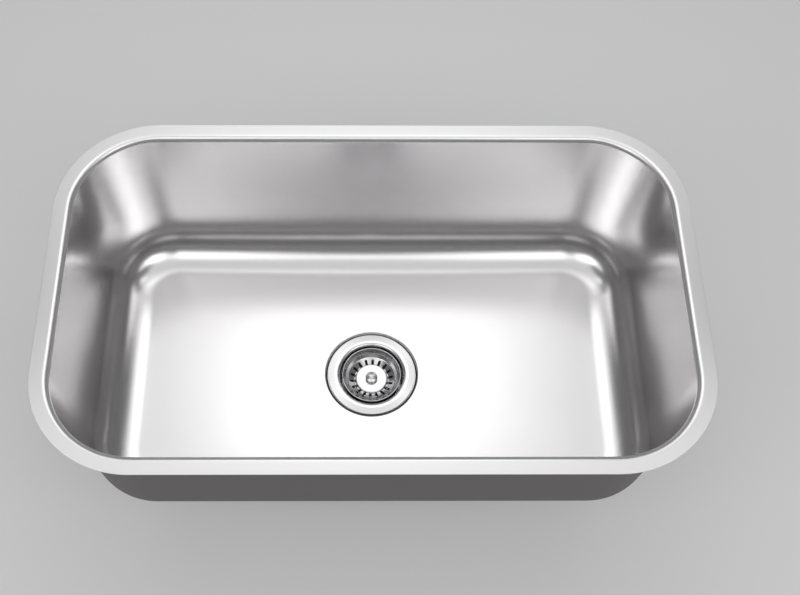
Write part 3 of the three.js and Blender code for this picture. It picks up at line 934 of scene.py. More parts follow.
@dataclass
class Bowl:
    """The pressed bowl: flat rim, lip, drawn walls, cove, and a floor that falls to the drain recess."""

    corner_r: float = 120.7
    rim_flat: float = 15.0
    rim_hold: float = 0.6  # from the lip's bend out to the loop that keeps the rim flat
    lip_r: float = 7.0
    sheet: float = 1.2
    draft_deg: float = 4.4
    cove_r: float = 52.0
    depth: float = 229.0
    floor_fall: float = 0.009
    drain_y: float = -4.5
    recess_top_r: float = 61.0
    recess_foot_r: float = 58.3
    recess_depth: float = 3.9
    recess_brow_r: float = 1.8
    recess_bend_r: float = 1.2
    hole_r: float = 44.5
    corner_segments: int = 32
    lip_segments: int = 10
    cove_segments: int = 20
    recess_segments: tuple[int, int] = (5, 4)
    side_cuts: tuple[int, int] = (23, 11)
    wall_cuts: int = 7
    floor_cuts: int = 13
    edge_round: float = 0.3
    coat_drop: float = 9.0  # the outside is bare steel this far below the rim; below it lies the dark coat with painted shade

    @property
    def draft(self) -> float:
        """The wall's lean from the vertical, in radians."""
        return math.radians(self.draft_deg)

    @property
    def drain(self) -> Vector:
        """The drain's centre on the floor's level at the recess, in metres."""
        return Vector((0.0, self.drain_y, -self.depth)) * MM

    def rim_face(self, bm: Shape) -> Face:
        """Makes the rim's outline as one flat face, with points along its straight sides.

        Args:
            bm: The bmesh to work in.

        Returns:
            The face.
        """
        low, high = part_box("sink_bowl")
        size = high - low
        rectangle(bm, size.x, size.y)
        round_off(bm, bm.verts[:], self.corner_r * MM, self.corner_segments, Rounded.POINTS)
        straight = sorted(bm.edges, key=lambda e: e.calc_length(), reverse=True)[:4]
        bmesh.ops.bisect_edges(bm, edges=straight[:2], cuts=self.side_cuts[0])
        bmesh.ops.bisect_edges(bm, edges=straight[2:], cuts=self.side_cuts[1])
        return bm.faces[:][0]

    def bend(self, bm: Shape, loop: list[Edge], radius: float, turn: float, segments: int) -> None:
        """Rounds a fold of the sheet.

        Args:
            bm: The bmesh.
            loop: The fold's edges.
            radius: The bend's radius in millimetres.
            turn: The angle that the sheet turns by, in radians.
            segments: Facets across the bend.
        """
        round_off(bm, loop, radius * MM * math.tan(turn / 2), segments, Rounded.FOLDS)

    def walls(self, bm: Shape) -> Face:
        """Draws the flange and the walls down from the rim's face, and rounds lip and cove.

        Args:
            bm: The bmesh that holds the rim's face.

        Returns:
            The flat floor face that is left in the middle.
        """
        turn = QUARTER_TURN - self.draft
        lip_inset = self.rim_flat + self.lip_r * math.tan(turn / 2)
        hold = self.rim_flat - self.rim_hold
        wall_run = self.depth * math.tan(self.draft)
        face = self.rim_face(bm)
        steps = [(hold, 0.0), (lip_inset - hold, 0.0), (wall_run, -self.depth)]
        lip: list[Edge] = []
        for inset, rise in steps:
            lip = list(face.edges)
            bmesh.ops.inset_individual(
                bm, faces=[face], thickness=inset * MM, depth=rise * MM, use_even_offset=True,
            )
        cove = list(face.edges)
        self.bend(bm, lip, self.lip_r, turn, self.lip_segments)
        self.bend(bm, cove, self.cove_r, turn, self.cove_segments)
        upright = [e for e in bm.edges if abs(e.verts[0].co.z - e.verts[1].co.z) > self.depth * MM / 2]
        bmesh.ops.subdivide_edges(bm, edges=upright, cuts=self.wall_cuts, use_grid_fill=True)
        return min(bm.faces, key=lambda f: f.calc_center_median().z - f.calc_area())

    def floor(self, bm: Shape, face: Face) -> None:
        """Opens the floor for the drain and carries the sheet down into the recess.

        Args:
            bm: The bmesh that holds the walls.
            face: The flat floor face.
        """
        outline = list(face.edges)
        bmesh.ops.delete(bm, geom=[face], context="FACES_ONLY")
        clear = upward(-self.depth)
        ring = bmesh.ops.create_circle(
            bm, cap_ends=False, radius=self.recess_top_r * MM, segments=len(outline),
            matrix=Matrix.Translation(self.drain + clear),
        )
        dish = list({e for v in ring["verts"] for e in v.link_edges})
        bridged = bmesh.ops.bridge_loops(bm, edges=outline + dish)
        bmesh.ops.translate(bm, verts=ring["verts"], vec=-clear)
        rims = set(outline) | set(dish)
        spokes = list({e for f in bridged["faces"] for e in f.edges} - rims)
        bmesh.ops.subdivide_edges(bm, edges=spokes, cuts=self.floor_cuts, use_grid_fill=True)
        dish = [e for e in bm.edges if e.is_boundary and e.verts[0].co.z < -self.depth * MM / 2]
        foot = self.step_in(bm, dish, self.recess_foot_r / self.recess_top_r, self.recess_depth)
        foot_held = list(foot)
        self.step_in(bm, foot, self.hole_r / self.recess_foot_r, 0.0)
        turn = math.atan2(self.recess_depth, self.recess_top_r - self.recess_foot_r)
        self.bend(bm, dish, self.recess_brow_r, turn, self.recess_segments[0])
        foot_left = [e for e in foot_held if e.is_valid]
        self.bend(bm, foot_left, self.recess_bend_r, turn, self.recess_segments[1])

    def step_in(self, bm: Shape, loop: list[Edge], shrink: float, drop: float) -> list[Edge]:
        """Extends the sheet from a round loop towards the drain's axis.

        Args:
            bm: The bmesh.
            loop: The open loop's edges.
            shrink: New radius over old.
            drop: How far the new loop lies below, in millimetres.

        Returns:
            The new loop's edges.
        """
        verts = points_of(bmesh.ops.extrude_edge_only(bm, edges=loop)["geom"])
        about = Matrix.Translation(-self.drain)
        bmesh.ops.scale(bm, verts=verts, vec=(shrink, shrink, 1.0), space=about)
        bmesh.ops.translate(bm, verts=verts, vec=upward(-drop))
        fresh = set(verts)
        return [e for e in bm.edges if e.verts[0] in fresh and e.verts[1] in fresh]

    def rise(self, point: Vector) -> float:
        """How far the floor stands above its lowest level at a point, in metres."""
        away = (point - self.drain).to_2d().length - self.recess_top_r * MM
        return self.floor_fall * max(away, 0.0)

    def slope(self, bm: Shape) -> None:
        """Raises the floor away from the drain, and eases that rise out up the cove."""
        top = (-self.depth + self.cove_r) * MM
        for vert in bm.verts:
            if vert.co.z > top:
                continue
            sine = min((top - vert.co.z) / (self.cove_r * MM), 1.0)
            share = max((math.asin(sine) - self.draft) / (QUARTER_TURN - self.draft), 0.0)
            vert.co.z += self.rise(vert.co) * share * share * (3 - 2 * share)

    def build(self) -> Piece:
        """Models and dresses the bowl.

        Returns:
            The finished piece.
        """
        bm = bmesh.new()
        self.floor(bm, self.walls(bm))
        self.slope(bm)
        settle(bm)
        if max(bm.faces, key=lambda f: f.calc_center_median().z).normal.z < 0:
            bmesh.ops.reverse_faces(bm, faces=bm.faces[:])
        made = finish_object("pressed_bowl", bm, SATIN_STEEL)
        # the outer shell takes the undercoat, whose dark tone is painted shade; near the rim it stays steel
        made.data.materials.append(UNDERCOAT_PAINTED_SHADE.material())
        add_sheet(made, self.sheet).material_offset = 1
        add_bevel(made, self.edge_round, segments=3, angle_deg=60.0)
        smoothed(made, crease_deg=40.0)
        for polygon in made.data.polygons:
            if polygon.center.z > -self.coat_drop * MM:
                polygon.material_index = 0
        return declare(made, Body.SINK, Slot.SATIN, "sink_bowl")


@dataclass
class SoundPads:
    """The two rubber pads bonded under the floor, which follow its slope."""

    thickness: float = 3.0
    corner_r: float = 9.0
    corner_segments: int = 6
    edge_round: float = 0.7
    squares: int = 12
    bowl: Bowl = field(default_factory=Bowl)

    def pad(self, node: str) -> Piece:
        """Models one pad in the space that its node has.

        Args:
            node: The frame's node.

        Returns:
            The finished pad.
        """
        low, high = (Vector(corner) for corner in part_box(node))
        size = high - low
        centre = (low + high) / 2
        bm = bmesh.new()
        rectangle(bm, size.x, size.y, self.squares)
        tips = [v for v in bm.verts if len(v.link_edges) == 2]
        round_off(bm, tips, self.corner_r * MM, self.corner_segments, Rounded.POINTS)
        move(bm, Vector((centre.x, centre.y, 0.0)))
        for vert in bm.verts:
            vert.co.z = -(self.bowl.depth + self.bowl.sheet + GAP) * MM + self.bowl.rise(vert.co)
        made = finish_object(node, bm, PAD_RUBBER)
        add_sheet(made, self.thickness)
        add_bevel(made, self.edge_round, segments=3, angle_deg=50.0)
        return declare(smoothed(made), Body.SINK, Slot.PAD, node)

    def build(self) -> None:
        """Models both pads."""
        for side in ("left", "right"):
            self.pad(f"bottom_pad_{side}")


# ---------------------------------------------------------------------------
# Strainer
# ---------------------------------------------------------------------------


@dataclass
class Strainer:
    """What is clamped in the drain hole: the strainer body, its seals and nut, and the post."""

    flange_edge: float = 0.9
    crown: float = 0.7
    crown_run: float = 1.5  # from the middle of the throat's roll out to the crown
    crown_r: float = 8.0
    throat_r: float = 41.3
    roll_r: float = 5.7
    roll_ease: float = 0.7  # what the roll's own round falls short of it
    cup_foot_r: float = 40.2
    cup_depth: float = 21.3
    seat_slope_deg: float = 32.0
    cup_wall: float = 1.6
    sleeve_r: float = 43.3
    sump_r: float = 22.0
    ledge_depth: float = 43.7
    outlet_bore_r: float = 19.5
    outlet_r: float = 23.6
    outlet_relief: Range = (0.6, 2.5)  # plain parts below and above the outlet's thread
    sleeve_relief: Range = (1.0, 3.0)  # plain parts below and above the sleeve's thread
    seal_inner_r: float = 45.2
    nut_r: float = 50.0
    nut_lugs: int = 8
    lug_facets: int = 9
    pitch_facets: int = 25
    lug_taper: float = 0.86
    spider_window_r: float = 19.0
    spider_hub_r: float = 6.5
    spider_arm: float = 3.0
    spider_arms: int = 4
    stud_r: float = 2.0
    stud_chamfer: float = 0.4
    collar_r: float = 5.0
    collar_height: float = 1.5
    neck_r: float = 2.6
    neck_height: float = 2.9
    head_r: float = 4.0
    head_foot: float = 1.4  # height in which the neck widens to the head
    head_tip: float = 2.0  # height and radius of the rounded tip
    post_flats: float = 8.0

    def body(self) -> Piece:
        """Models the polished flange, cup and outlet, threaded outside."""
        room = Room.of("strainer_body")
        under = room.top - self.crown - self.flange_edge
        slope = math.tan(math.radians(self.seat_slope_deg))
        wall_drop = self.cup_wall / math.cos(math.radians(self.seat_slope_deg))
        foot = under - self.cup_depth

        def seat(radius: float) -> float:
            """Height of the seat at a radius."""
            return foot - (self.cup_foot_r - radius) * slope

        ledge = under - self.ledge_depth
        neck = seat(self.outlet_r) - wall_drop
        hip = seat(self.sleeve_r) - wall_drop
        corners = [
            Corner(room.radius, under, 0.3),
            Corner(room.radius, under + self.flange_edge, 0.45),
            Corner(self.throat_r + self.roll_r + self.crown_run, room.top, self.crown_r),
            Corner(self.throat_r, room.top, self.roll_r - self.roll_ease),
            Corner(self.cup_foot_r, foot, 2.2),
            Corner(self.sump_r, seat(self.sump_r), 1.4),
            Corner(self.sump_r, ledge, 0.5),
            Corner(self.outlet_bore_r, ledge, 0.4),
            Corner(self.outlet_bore_r, room.bottom, 0.3),
            Corner(self.outlet_r - PIPE_THREAD.depth, room.bottom),
            *PIPE_THREAD.corners(
                self.outlet_r, room.bottom + self.outlet_relief[0], neck - self.outlet_relief[1],
            ),
            Corner(self.outlet_r, neck, 1.6),
            Corner(self.sleeve_r, hip, 1.0),
            *PIPE_THREAD.corners(self.sleeve_r, hip + self.sleeve_relief[0], under - self.sleeve_relief[1]),
            Corner(self.sleeve_r, under, 0.4),
        ]
        made = turned("strainer_cup", corners, FLANGE_STEEL, room.axis, 144, 8)
        return declare(smoothed(made), Body.SINK, Slot.POLISHED, "strainer_body")

    def rings(self) -> None:
        """Models the seal above the sheet and the gasket and friction ring below it."""
        over_sleeve = self.sleeve_r + GAP
        plain = (
            ("flange_seal", self.seal_inner_r, 0.3, BLACK_RUBBER, Slot.RUBBER),
            ("rubber_gasket", over_sleeve, 0.9, BLACK_RUBBER, Slot.RUBBER),
            ("friction_ring", over_sleeve, 0.15, FIBRE_RING, Slot.FIBRE),
        )
        for node, inner, fillet, finish, slot in plain:
            room = Room.of(node)
            corners = ring_corners(inner, room.radius, room.bottom, room.top, fillet)
            turned_piece(node, corners, finish, Body.SINK, slot, 120)

    def locknut(self) -> Piece:
        """Models the cast nut, with its lugs drawn out of a plain ring."""
        room = Room.of("locknut")
        corners = ring_corners(self.sleeve_r + GAP, self.nut_r, room.bottom, room.top, 0.0)
        bm = solid_of_revolution(corners, Vector(), self.nut_lugs * self.pitch_facets)
        facet = FULL_TURN / (self.nut_lugs * self.pitch_facets)
        lugs = []
        for face in bm.faces:
            middle = face.calc_center_median()
            place = int((math.atan2(middle.y, middle.x) % FULL_TURN) / facet) % self.pitch_facets
            outside = middle.xy.length > (self.nut_r - GAP) * MM
            if outside and place < self.lug_facets:
                lugs.append(face)
        tips = points_of(bmesh.ops.extrude_face_region(bm, geom=lugs)["geom"])
        reach = room.radius / self.nut_r
        level = Matrix.Translation(upward(-(room.top + room.bottom) / 2))
        bmesh.ops.scale(bm, verts=tips, vec=(reach, reach, self.lug_taper), space=level)
        bmesh.ops.delete(bm, geom=lugs, context="FACES")
        settle(bm)
        move(bm, room.axis)
        made = finish_object("locknut", bm, ZINC_PLATE)
        add_bevel(made, 0.8, segments=3)
        return declare(smoothed(made), Body.SINK, Slot.ZINC, "locknut")

    def spider(self) -> Piece:
        """Models the crossbars: a plate with a window between ring, hub and each two arms."""
        room = Room.of("spider")
        plate = ring_corners(self.stud_r + GAP, room.radius, room.bottom, room.top, 0.0)
        made = turned("spider", plate, BRIGHT_STEEL, room.axis)
        low, high = room.bottom - THROUGH, room.top + THROUGH
        open_ring = ring_corners(self.spider_hub_r, self.spider_window_r, low, high, 0.0)
        window = solid_of_revolution(open_ring, Vector())
        half = self.spider_arm / 2 * MM
        for normal in (Vector((1, 0, 0)), Vector((0, 1, 0))):
            cut = bmesh.ops.bisect_plane(
                window, geom=everything(window), plane_co=normal * half, plane_no=normal, clear_inner=True,
            )["geom_cut"]
            bmesh.ops.edgenet_fill(window, edges=[part for part in cut if isinstance(part, Edge)])
        settle(window)
        around(window, self.spider_arms)
        move(window, room.axis)
        carve(made, window)
        add_bevel(made, 0.2)
        return declare(smoothed(made), Body.SINK, Slot.POLISHED, "spider")

    def post(self) -> Piece:
        """Models the post that the basket's clip grips, on its stud."""
        room = Room.of("centre_post")
        spider = Room.of("spider")
        collar = spider.top + GAP
        collar_top = collar + self.collar_height
        head = collar_top + self.neck_height
        corners = [
            Corner(0.0, room.bottom),
            Corner(self.stud_r - self.stud_chamfer, room.bottom, 0.1),
            *STUD_THREAD.corners(self.stud_r, room.bottom + self.stud_chamfer, spider.bottom),
            Corner(self.stud_r, collar),
            Corner(self.collar_r, collar, 0.3),
            Corner(self.collar_r, collar_top, 0.5),
            Corner(self.neck_r, collar_top, 0.5),
            Corner(self.neck_r, head, 0.5),
            Corner(self.head_r, head + self.head_foot, 0.5),
            Corner(self.head_r, room.top - self.head_tip, 1.2),
            Corner(self.head_tip, room.top, 1.2),
            Corner(0.0, room.top),
        ]
        return turned_piece("centre_post", corners, BRIGHT_STEEL, Body.SINK, Slot.POLISHED, 48)

    def post_nut(self) -> Piece:
        """Models the nut under the crossbars."""
        room = Room.of("post_nut")
        bore = ring_corners(0.0, self.stud_r + GAP, room.bottom - THROUGH, room.top + THROUGH, 0.0)
        made = nut("post_nut", 6, self.post_flats, room, bore, BRIGHT_STEEL, 0.6)
        add_bevel(made, 0.12)
        return declare(smoothed(made), Body.SINK, Slot.POLISHED, "post_nut")

    def build(self) -> None:
        """Models every piece of the strainer."""
        self.body()
        self.rings()
        self.locknut()
        self.spider()
        self.post()
        self.post_nut()


# ---------------------------------------------------------------------------
# Basket
# ---------------------------------------------------------------------------


@dataclass
class Basket:
    """What lifts out: the pierced basket, its knob, stem and stopper, and the clip below. The
    basket's bead and slots are drawn finer than in the frame's node."""

    sheet: float = 0.8
    depth: float = 15.9
    bead_r: float = 0.5
    wall_foot_r: float = 34.4
    wall_foot_rise: float = 8.0
    cone_r: float = 31.0
    cone_slope_deg: float = 25.0
    valley_round: float = 1.5
    plateau_r: float = 20.9
    plateau_height: float = 3.4
    plateau_round: float = 1.6
    slot_count: int = 18
    slot_width: float = 3.6
    slot_inner_r: float = 20.7
    slot_outer_r: float = 28.8
    slot_start: float = 0.3
    knob_foot_r: float = 5.0
    knob_waist_r: float = 4.3
    knob_waist_rise: float = 1.2
    knob_cap: float = 3.2
    pin_r: float = 2.5
    collar_r: float = 6.0
    collar_height: float = 1.4
    shaft_r: float = 3.5
    flange_r: float = 7.0
    flange_height: float = 1.2
    foot_r: float = 5.5
    foot_height: float = 1.0
    neck_r: float = 2.0
    rivet_r: float = 3.2
    stopper_edge: float = 4.0  # height of the upright edge
    stopper_cone: float = 2.4  # how far the edge draws in below it
    plate_dish: float = 0.25  # depth of the shallow dish that the plate lies in
    plate_margin: Range = (1.2, 1.5)  # from the plate to the foot and the brow of the dish's edge
    clip_wall: float = 0.8
    clip_slits: int = 4
    clip_slit: float = 1.2
    clip_slit_height: float = 6.5
    clip_slit_reach: float = 1.4  # length of the bar that cuts a slit, against the clip's radius

    @property
    def lip(self) -> float:
        """Height of the basket's lip."""
        return Room.of("basket_shell").top

    @property
    def plateau(self) -> float:
        """Height of the basket's raised middle."""
        return self.lip - self.depth + self.plateau_height

    def shell(self) -> Piece:
        """Models the pressed and pierced basket."""
        room = Room.of("basket_shell")
        floor = self.lip - self.depth
        inner_bead = room.radius - 2 * self.bead_r
        slope = math.tan(math.radians(self.cone_slope_deg))
        valley = floor + self.valley_round - self.valley_round * (
            slope + 1 / math.cos(math.radians(self.cone_slope_deg))
        )
        corners = [
            Corner(room.radius, self.lip - self.bead_r),
            Corner(room.radius, self.lip, self.bead_r * ROUND_END),
            Corner(inner_bead, self.lip, self.bead_r * ROUND_END),
            Corner(self.wall_foot_r, floor + self.wall_foot_rise, 3.0),
            Corner(self.cone_r, valley + (self.cone_r - self.plateau_r) * slope, 3.0),
            Corner(self.plateau_r, valley, self.valley_round),
            Corner(self.plateau_r, self.plateau, self.plateau_round),
            Corner(self.pin_r + GAP, self.plateau),
        ]
        made = pressed("basket_shell", corners, self.sheet, BASKET_STEEL_PAINTED_SHADE, room.axis, 144)
        slot = stadium(self.slot_outer_r - self.slot_inner_r, self.slot_width, self.depth)
        middle = (self.slot_outer_r + self.slot_inner_r) / 2
        move(slot, Vector((middle * MM, 0.0, 0.0)))
        around(slot, self.slot_count, self.slot_start)
        move(slot, room.axis + upward(floor))
        carve(made, slot)
        add_bevel(made, 0.15, angle_deg=50.0)
        return declare(smoothed(made), Body.BASKET, Slot.POLISHED, "basket_shell")

    def knob(self) -> Piece:
        """Models the turned knob, hollow where the stem's pin sits."""
        room = Room.of("basket_knob")
        socket = Room.of("basket_stem").top + GAP
        pin = self.pin_r + GAP
        brim = room.top - self.knob_cap
        half_slope = math.atan(self.knob_cap / room.radius)
        cap_r = room.radius / math.sin(2 * half_slope)
        corners = [
            Corner(0.0, socket),
            Corner(pin, socket),
            Corner(pin, room.bottom, 0.2),
            Corner(self.knob_foot_r, room.bottom, 0.3),
            Corner(self.knob_waist_r, room.bottom + self.knob_waist_rise, 1.0),
            Corner(room.radius, brim, 0.4),
            Corner(cap_r * math.tan(half_slope), room.top, cap_r),
            Corner(0.0, room.top),
        ]
        return turned_piece("basket_knob", corners, KNOB_STEEL, Body.BASKET, Slot.POLISHED, 64, 6)

    def stem(self) -> Piece:
        """Models the stem, with its collars, from the knob's pin down to the rivet."""
        room = Room.of("basket_stem")
        collar = self.plateau - self.sheet - GAP
        flange = Room.of("stopper_plate").top + GAP
        foot = Room.of("stopper").bottom - GAP
        steps = (
            (self.pin_r, collar),
            (self.collar_r, collar - self.collar_height),
            (self.shaft_r, flange + self.flange_height),
            (self.flange_r, flange),
            (self.shaft_r, foot),
            (self.foot_r, foot - self.foot_height),
            (self.neck_r, Room.of("knob_clip").top - self.clip_wall - GAP),
            (self.rivet_r, room.bottom),
        )
        corners = [Corner(0.0, room.top)]
        top = room.top
        for radius, bottom in steps:
            corners += [Corner(radius, top, 0.2), Corner(radius, bottom, 0.2)]
            top = bottom
        corners.append(Corner(0.0, room.bottom))
        return turned_piece("basket_stem", corners, BRIGHT_STEEL, Body.BASKET, Slot.POLISHED, 48)

    def stopper(self) -> None:
        """Models the rubber stopper and the steel plate on it."""
        plate = Room.of("stopper_plate")
        bore = self.shaft_r + GAP
        washer = ring_corners(bore, plate.radius, plate.bottom, plate.top, 0.25)
        turned_piece("stopper_plate", washer, BRIGHT_STEEL, Body.BASKET, Slot.POLISHED)
        disc = Room.of("stopper")
        foot, brow = (plate.radius + margin for margin in self.plate_margin)
        rubber = [
            Corner(bore, disc.bottom, 0.3),
            Corner(disc.radius - self.stopper_cone, disc.bottom, 0.6),
            Corner(disc.radius, disc.top - self.stopper_edge, 0.5),
            Corner(disc.radius, disc.top, 0.6),
            Corner(brow, disc.top, 0.3),
            Corner(foot, disc.top - self.plate_dish, 0.3),
            Corner(bore, disc.top - self.plate_dish, 0.3),
        ]
        turned_piece("stopper", rubber, BLACK_RUBBER, Body.BASKET, Slot.RUBBER)

    def clip(self) -> Piece:
        """Models the slit cup that springs over the post."""
        room = Room.of("knob_clip")
        inner = room.radius - self.clip_wall
        hole = self.neck_r + GAP
        corners = [
            Corner(hole, room.top - self.clip_wall),
            Corner(inner, room.top - self.clip_wall, 0.5),
            Corner(inner, room.bottom, 0.25),
            Corner(room.radius, room.bottom, 0.25),
            Corner(room.radius, room.top, 0.9),
            Corner(hole, room.top),
        ]
        made = turned("knob_clip", corners, BRIGHT_STEEL, room.axis, 48)
        slit = stadium(room.radius * self.clip_slit_reach, self.clip_slit, self.clip_slit_height * 2)
        move(slit, Vector((room.radius * MM, 0.0, 0.0)))
        around(slit, self.clip_slits, 0.5)
        move(slit, room.axis + upward(room.bottom))
        carve(made, slit)
        add_bevel(made, 0.1, angle_deg=50.0)
        return declare(smoothed(made), Body.CLIP, Slot.POLISHED, "knob_clip")

    def build(self) -> None:
        """Models every piece that lifts out."""
        self.shell()
        self.knob()
        self.stem()
        self.stopper()
        self.clip()


# ---------------------------------------------------------------------------
# Outlet
# ---------------------------------------------------------------------------


@dataclass
class Outlet:
    """The tailpiece, its flanged washer and the coupling nut that holds both to the strainer."""

    tail_r: float = 19.05
    tail_wall: float = 1.0
    flange: float = 1.2
    washer: float = 2.0
    washer_wall: float = 1.1
    nut_flats: float = 56.0
    nut_sides: int = 8
    nut_lip: float = 3.0
    nut_cone: float = 1.6
    thread_relief: Range = (0.5, 0.8)  # plain parts of the bore below and above the thread
    strainer: Strainer = field(default_factory=Strainer)

    def tailpiece(self) -> Piece:
        """Models the flanged tube."""
        room = Room.of("tailpiece")
        bore = self.tail_r - self.tail_wall
        corners = [
            Corner(bore, room.top, 0.6),
            Corner(bore, room.bottom, 0.3),
            Corner(self.tail_r, room.bottom, 0.4),
            Corner(self.tail_r, room.top - self.flange, 0.6),
            Corner(room.radius, room.top - self.flange, 0.4),
            Corner(room.radius, room.top, 0.5),
        ]
        return turned_piece("tailpiece", corners, BRIGHT_STEEL, Body.SINK, Slot.POLISHED)

    def flanged_washer(self) -> Piece:
        """Models the nylon washer, whose skirt hangs in the tube."""
        room = Room.of("tailpiece_washer")
        skirt = self.tail_r - self.tail_wall - GAP
        corners = [
            Corner(skirt - self.washer_wall, room.top, 0.4),
            Corner(skirt - self.washer_wall, room.bottom, 0.2),
            Corner(skirt, room.bottom, 0.3),
            Corner(skirt, room.top - self.washer, 0.4),
            Corner(room.radius, room.top - self.washer, 0.3),
            Corner(room.radius, room.top, 0.5),
        ]
        return turned_piece("tailpiece_washer", corners, NYLON, Body.SINK, Slot.NYLON)

    def coupling_nut(self) -> Piece:
        """Models the eight-sided nut, threaded inside above its lip."""
        room = Room.of("coupling_nut")
        thread = self.strainer.outlet_r + GAP
        tube = self.tail_r + GAP
        lip = room.bottom + self.nut_lip
        below, above = room.bottom - THROUGH, room.top + THROUGH
        bore = [
            Corner(0.0, below),
            Corner(tube, below),
            Corner(tube, lip),
            Corner(thread, lip),
            *NUT_THREAD.corners(thread, lip + self.thread_relief[0], room.top - self.thread_relief[1]),
            Corner(thread, above),
            Corner(0.0, above),
        ]
        made = nut("coupling_nut", self.nut_sides, self.nut_flats, room, bore, ZINC_PLATE, self.nut_cone)
        add_bevel(made, 0.5, segments=3)
        return declare(smoothed(made), Body.SINK, Slot.ZINC, "coupling_nut")

    def build(self) -> None:
        """Models every piece of the outlet."""
        self.tailpiece()
        self.flanged_washer()
        self.coupling_nut()


# ---------------------------------------------------------------------------
# Studio
# ---------------------------------------------------------------------------


@dataclass(frozen=True)
class Softbox:
    """A soft lamp that hangs level over the sink, or a pair of them left and right: how far out
    and how far back its middle is and its size, in metres, and how bright its face looks, where
    1 is white paper."""

    name: str
    out: float
    back: float
    size: tuple[float, float]
    brightness: float
    height: float = 1.75

    def build(self) -> None:
        """Hangs the lamp, and its twin on the other side when it stands off the middle."""
        for side in (-1, 1) if self.out else (1,):
            name = f"{self.name}_{'left' if side < 0 else 'right'}" if self.out else self.name
            lamp = bpy.data.lights.new(name, "AREA")
            lamp.shape = "RECTANGLE"
            lamp.size, lamp.size_y = self.size
            lamp.energy = self.brightness * math.pi * self.size[0] * self.size[1]
            new_object(name, lamp).location = (side * self.out, self.back, self.height)


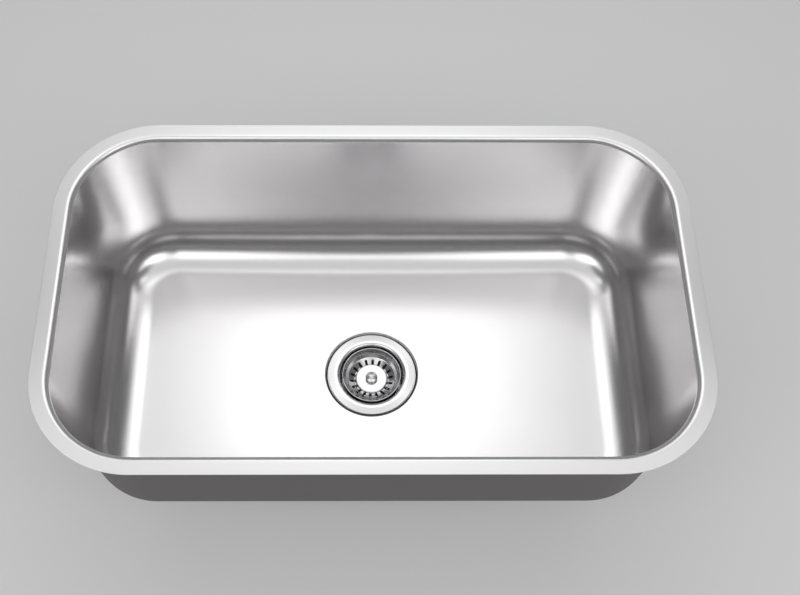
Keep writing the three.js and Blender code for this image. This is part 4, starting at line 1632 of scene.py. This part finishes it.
@dataclass
class Studio:
    """Floor, lamps, surroundings and camera."""

    floor_colour: Colour = (0.74, 0.74, 0.74)
    floor_half: float = 30.0
    floor_gap: float = 0.5
    floor_glow: float = 0.15
    softboxes: tuple[Softbox, ...] = (
        Softbox("back_far", 0.0, 1.5, (1.6, 0.6), 1.15),
        Softbox("back_far_end", 1.05, 1.5, (0.5, 0.6), 0.65),
        Softbox("back_centre", 0.0, 0.9, (0.8, 0.6), 1.6),
        Softbox("back_wing", 0.6, 0.9, (0.4, 0.6), 0.85),
        Softbox("back_strip", 0.0, 0.45, (1.6, 0.3), 0.85),
        Softbox("back_strip_end", 1.05, 0.45, (0.5, 0.3), 1.6),
        Softbox("overhead", 0.0, -0.2, (1.8, 1.0), 0.58),
        Softbox("front_centre", 0.0, -1.1, (0.6, 0.7), 1.05),
        Softbox("front_inner", 0.6, -1.25, (0.6, 1.1), 1.5),
        Softbox("front_outer", 1.35, -1.25, (0.9, 1.1), 2.2),
        Softbox("side", 2.05, -0.9, (0.5, 1.2), 1.4),
    )
    room_glow: float = 1.2
    room_dim: float = 0.15
    room_fade: Range = (0.1, 0.22)  # between these heights on the sky's unit sphere
    backdrop: float = 0.45
    focal_px: float = 1182.0
    frame_px: float = 800.0
    axis_px: float = 372.0
    sensor: float = 36.0
    sight: Range = (0.05, 60.0)  # metres, the nearest and the farthest that the camera sees
    camera_place: tuple[float, float, float] = (-17.0, -663.4, 1187.0)
    camera_yaw_deg: float = -1.342
    camera_pitch_deg: float = 61.362
    camera_roll_deg: float = 1.197

    def floor(self) -> Piece:
        """Lays the plain floor under the tailpiece's end."""
        bm = bmesh.new()
        rectangle(bm, 2 * self.floor_half, 2 * self.floor_half)
        move(bm, upward(Room.of("tailpiece").bottom - self.floor_gap))
        mesh = new_mesh("floor", bm)
        paint = bpy.data.materials.new("floor_paint")
        paint.use_nodes = True
        graph = Graph(paint.node_tree)
        shader = graph.node("ShaderNodeBsdfPrincipled")
        shader.inputs["Base Color"].default_value = (*self.floor_colour, 1.0)
        shader.inputs["Roughness"].default_value = 0.9
        shader.inputs["Emission Color"].default_value = (1.0, 1.0, 1.0, 1.0)
        glow = graph.math("MULTIPLY", self.seen(graph), self.floor_glow)
        graph.feed(shader.inputs["Emission Strength"], glow)
        graph.feed(graph.node("ShaderNodeOutputMaterial").inputs["Surface"], shader.outputs[0])
        mesh.materials.append(paint)
        made = new_object("floor", mesh)
        return made

    @staticmethod
    def seen(graph: Graph) -> Socket:
        """Returns 1 where the camera sees a thing directly, in metal or through glass, and else 0."""
        path = graph.node("ShaderNodeLightPath")
        indirect = graph.math("MAXIMUM", path.outputs["Is Glossy Ray"], path.outputs["Is Transmission Ray"])
        return graph.math("MAXIMUM", path.outputs["Is Camera Ray"], indirect)

    def surroundings(self) -> bpy.types.World:
        """Makes the room: pale near the horizon, and dim overhead, where the lamps hang."""
        world = bpy.data.worlds.new("room")
        world.use_nodes = True
        graph = Graph(world.node_tree)
        place = graph.node("ShaderNodeTexCoord")
        height = graph.node("ShaderNodeSeparateXYZ")
        graph.feed(height.inputs[0], place.outputs["Generated"])
        share = graph.spread(height.outputs[2], self.room_fade)
        horizon = graph.tint(self.seen(graph), (self.room_glow,) * 3, (self.backdrop,) * 3)
        background = graph.node("ShaderNodeBackground")
        graph.feed(background.inputs["Color"], graph.tint(share, horizon, (self.room_dim,) * 3))
        graph.feed(graph.node("ShaderNodeOutputWorld").inputs["Surface"], background.outputs[0])
        bpy.context.scene.world = world
        return world

    def camera(self) -> Piece:
        """Places the camera as the photograph was taken.

        Returns:
            The camera object, which is made the scene's camera.
        """
        lens = bpy.data.cameras.new("camera")
        lens.sensor_width = self.sensor
        lens.lens = self.focal_px / self.frame_px * self.sensor
        lens.shift_x = (self.frame_px / 2 - self.axis_px) / self.frame_px
        lens.clip_start, lens.clip_end = self.sight
        made = new_object("camera", lens)
        turn = (
            Matrix.Rotation(math.radians(self.camera_yaw_deg), 4, "Z")
            @ Matrix.Rotation(QUARTER_TURN - math.radians(self.camera_pitch_deg), 4, "X")
            @ Matrix.Rotation(math.radians(self.camera_roll_deg), 4, "Z")
        )
        made.matrix_world = Matrix.Translation(Vector(self.camera_place) * MM) @ turn
        bpy.context.scene.camera = made
        return made

    def build(self) -> None:
        """Sets up the whole studio."""
        bpy.context.scene.view_settings.view_transform = "Standard"
        self.camera()
        self.floor()
        self.surroundings()
        for softbox in self.softboxes:
            softbox.build()


# ---------------------------------------------------------------------------
# Everything together
# ---------------------------------------------------------------------------


def main() -> None:
    """Loads the frame, sets up the studio and builds every sub-assembly round it."""
    logging.basicConfig(level=logging.INFO, format="%(name)s: %(message)s")
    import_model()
    Studio().build()
    for assembly in (Bowl(), SoundPads(), Strainer(), Basket(), Outlet()):
        log.info("building %s", type(assembly).__name__)
        assembly.build()


if __name__ == "__main__":
    main()
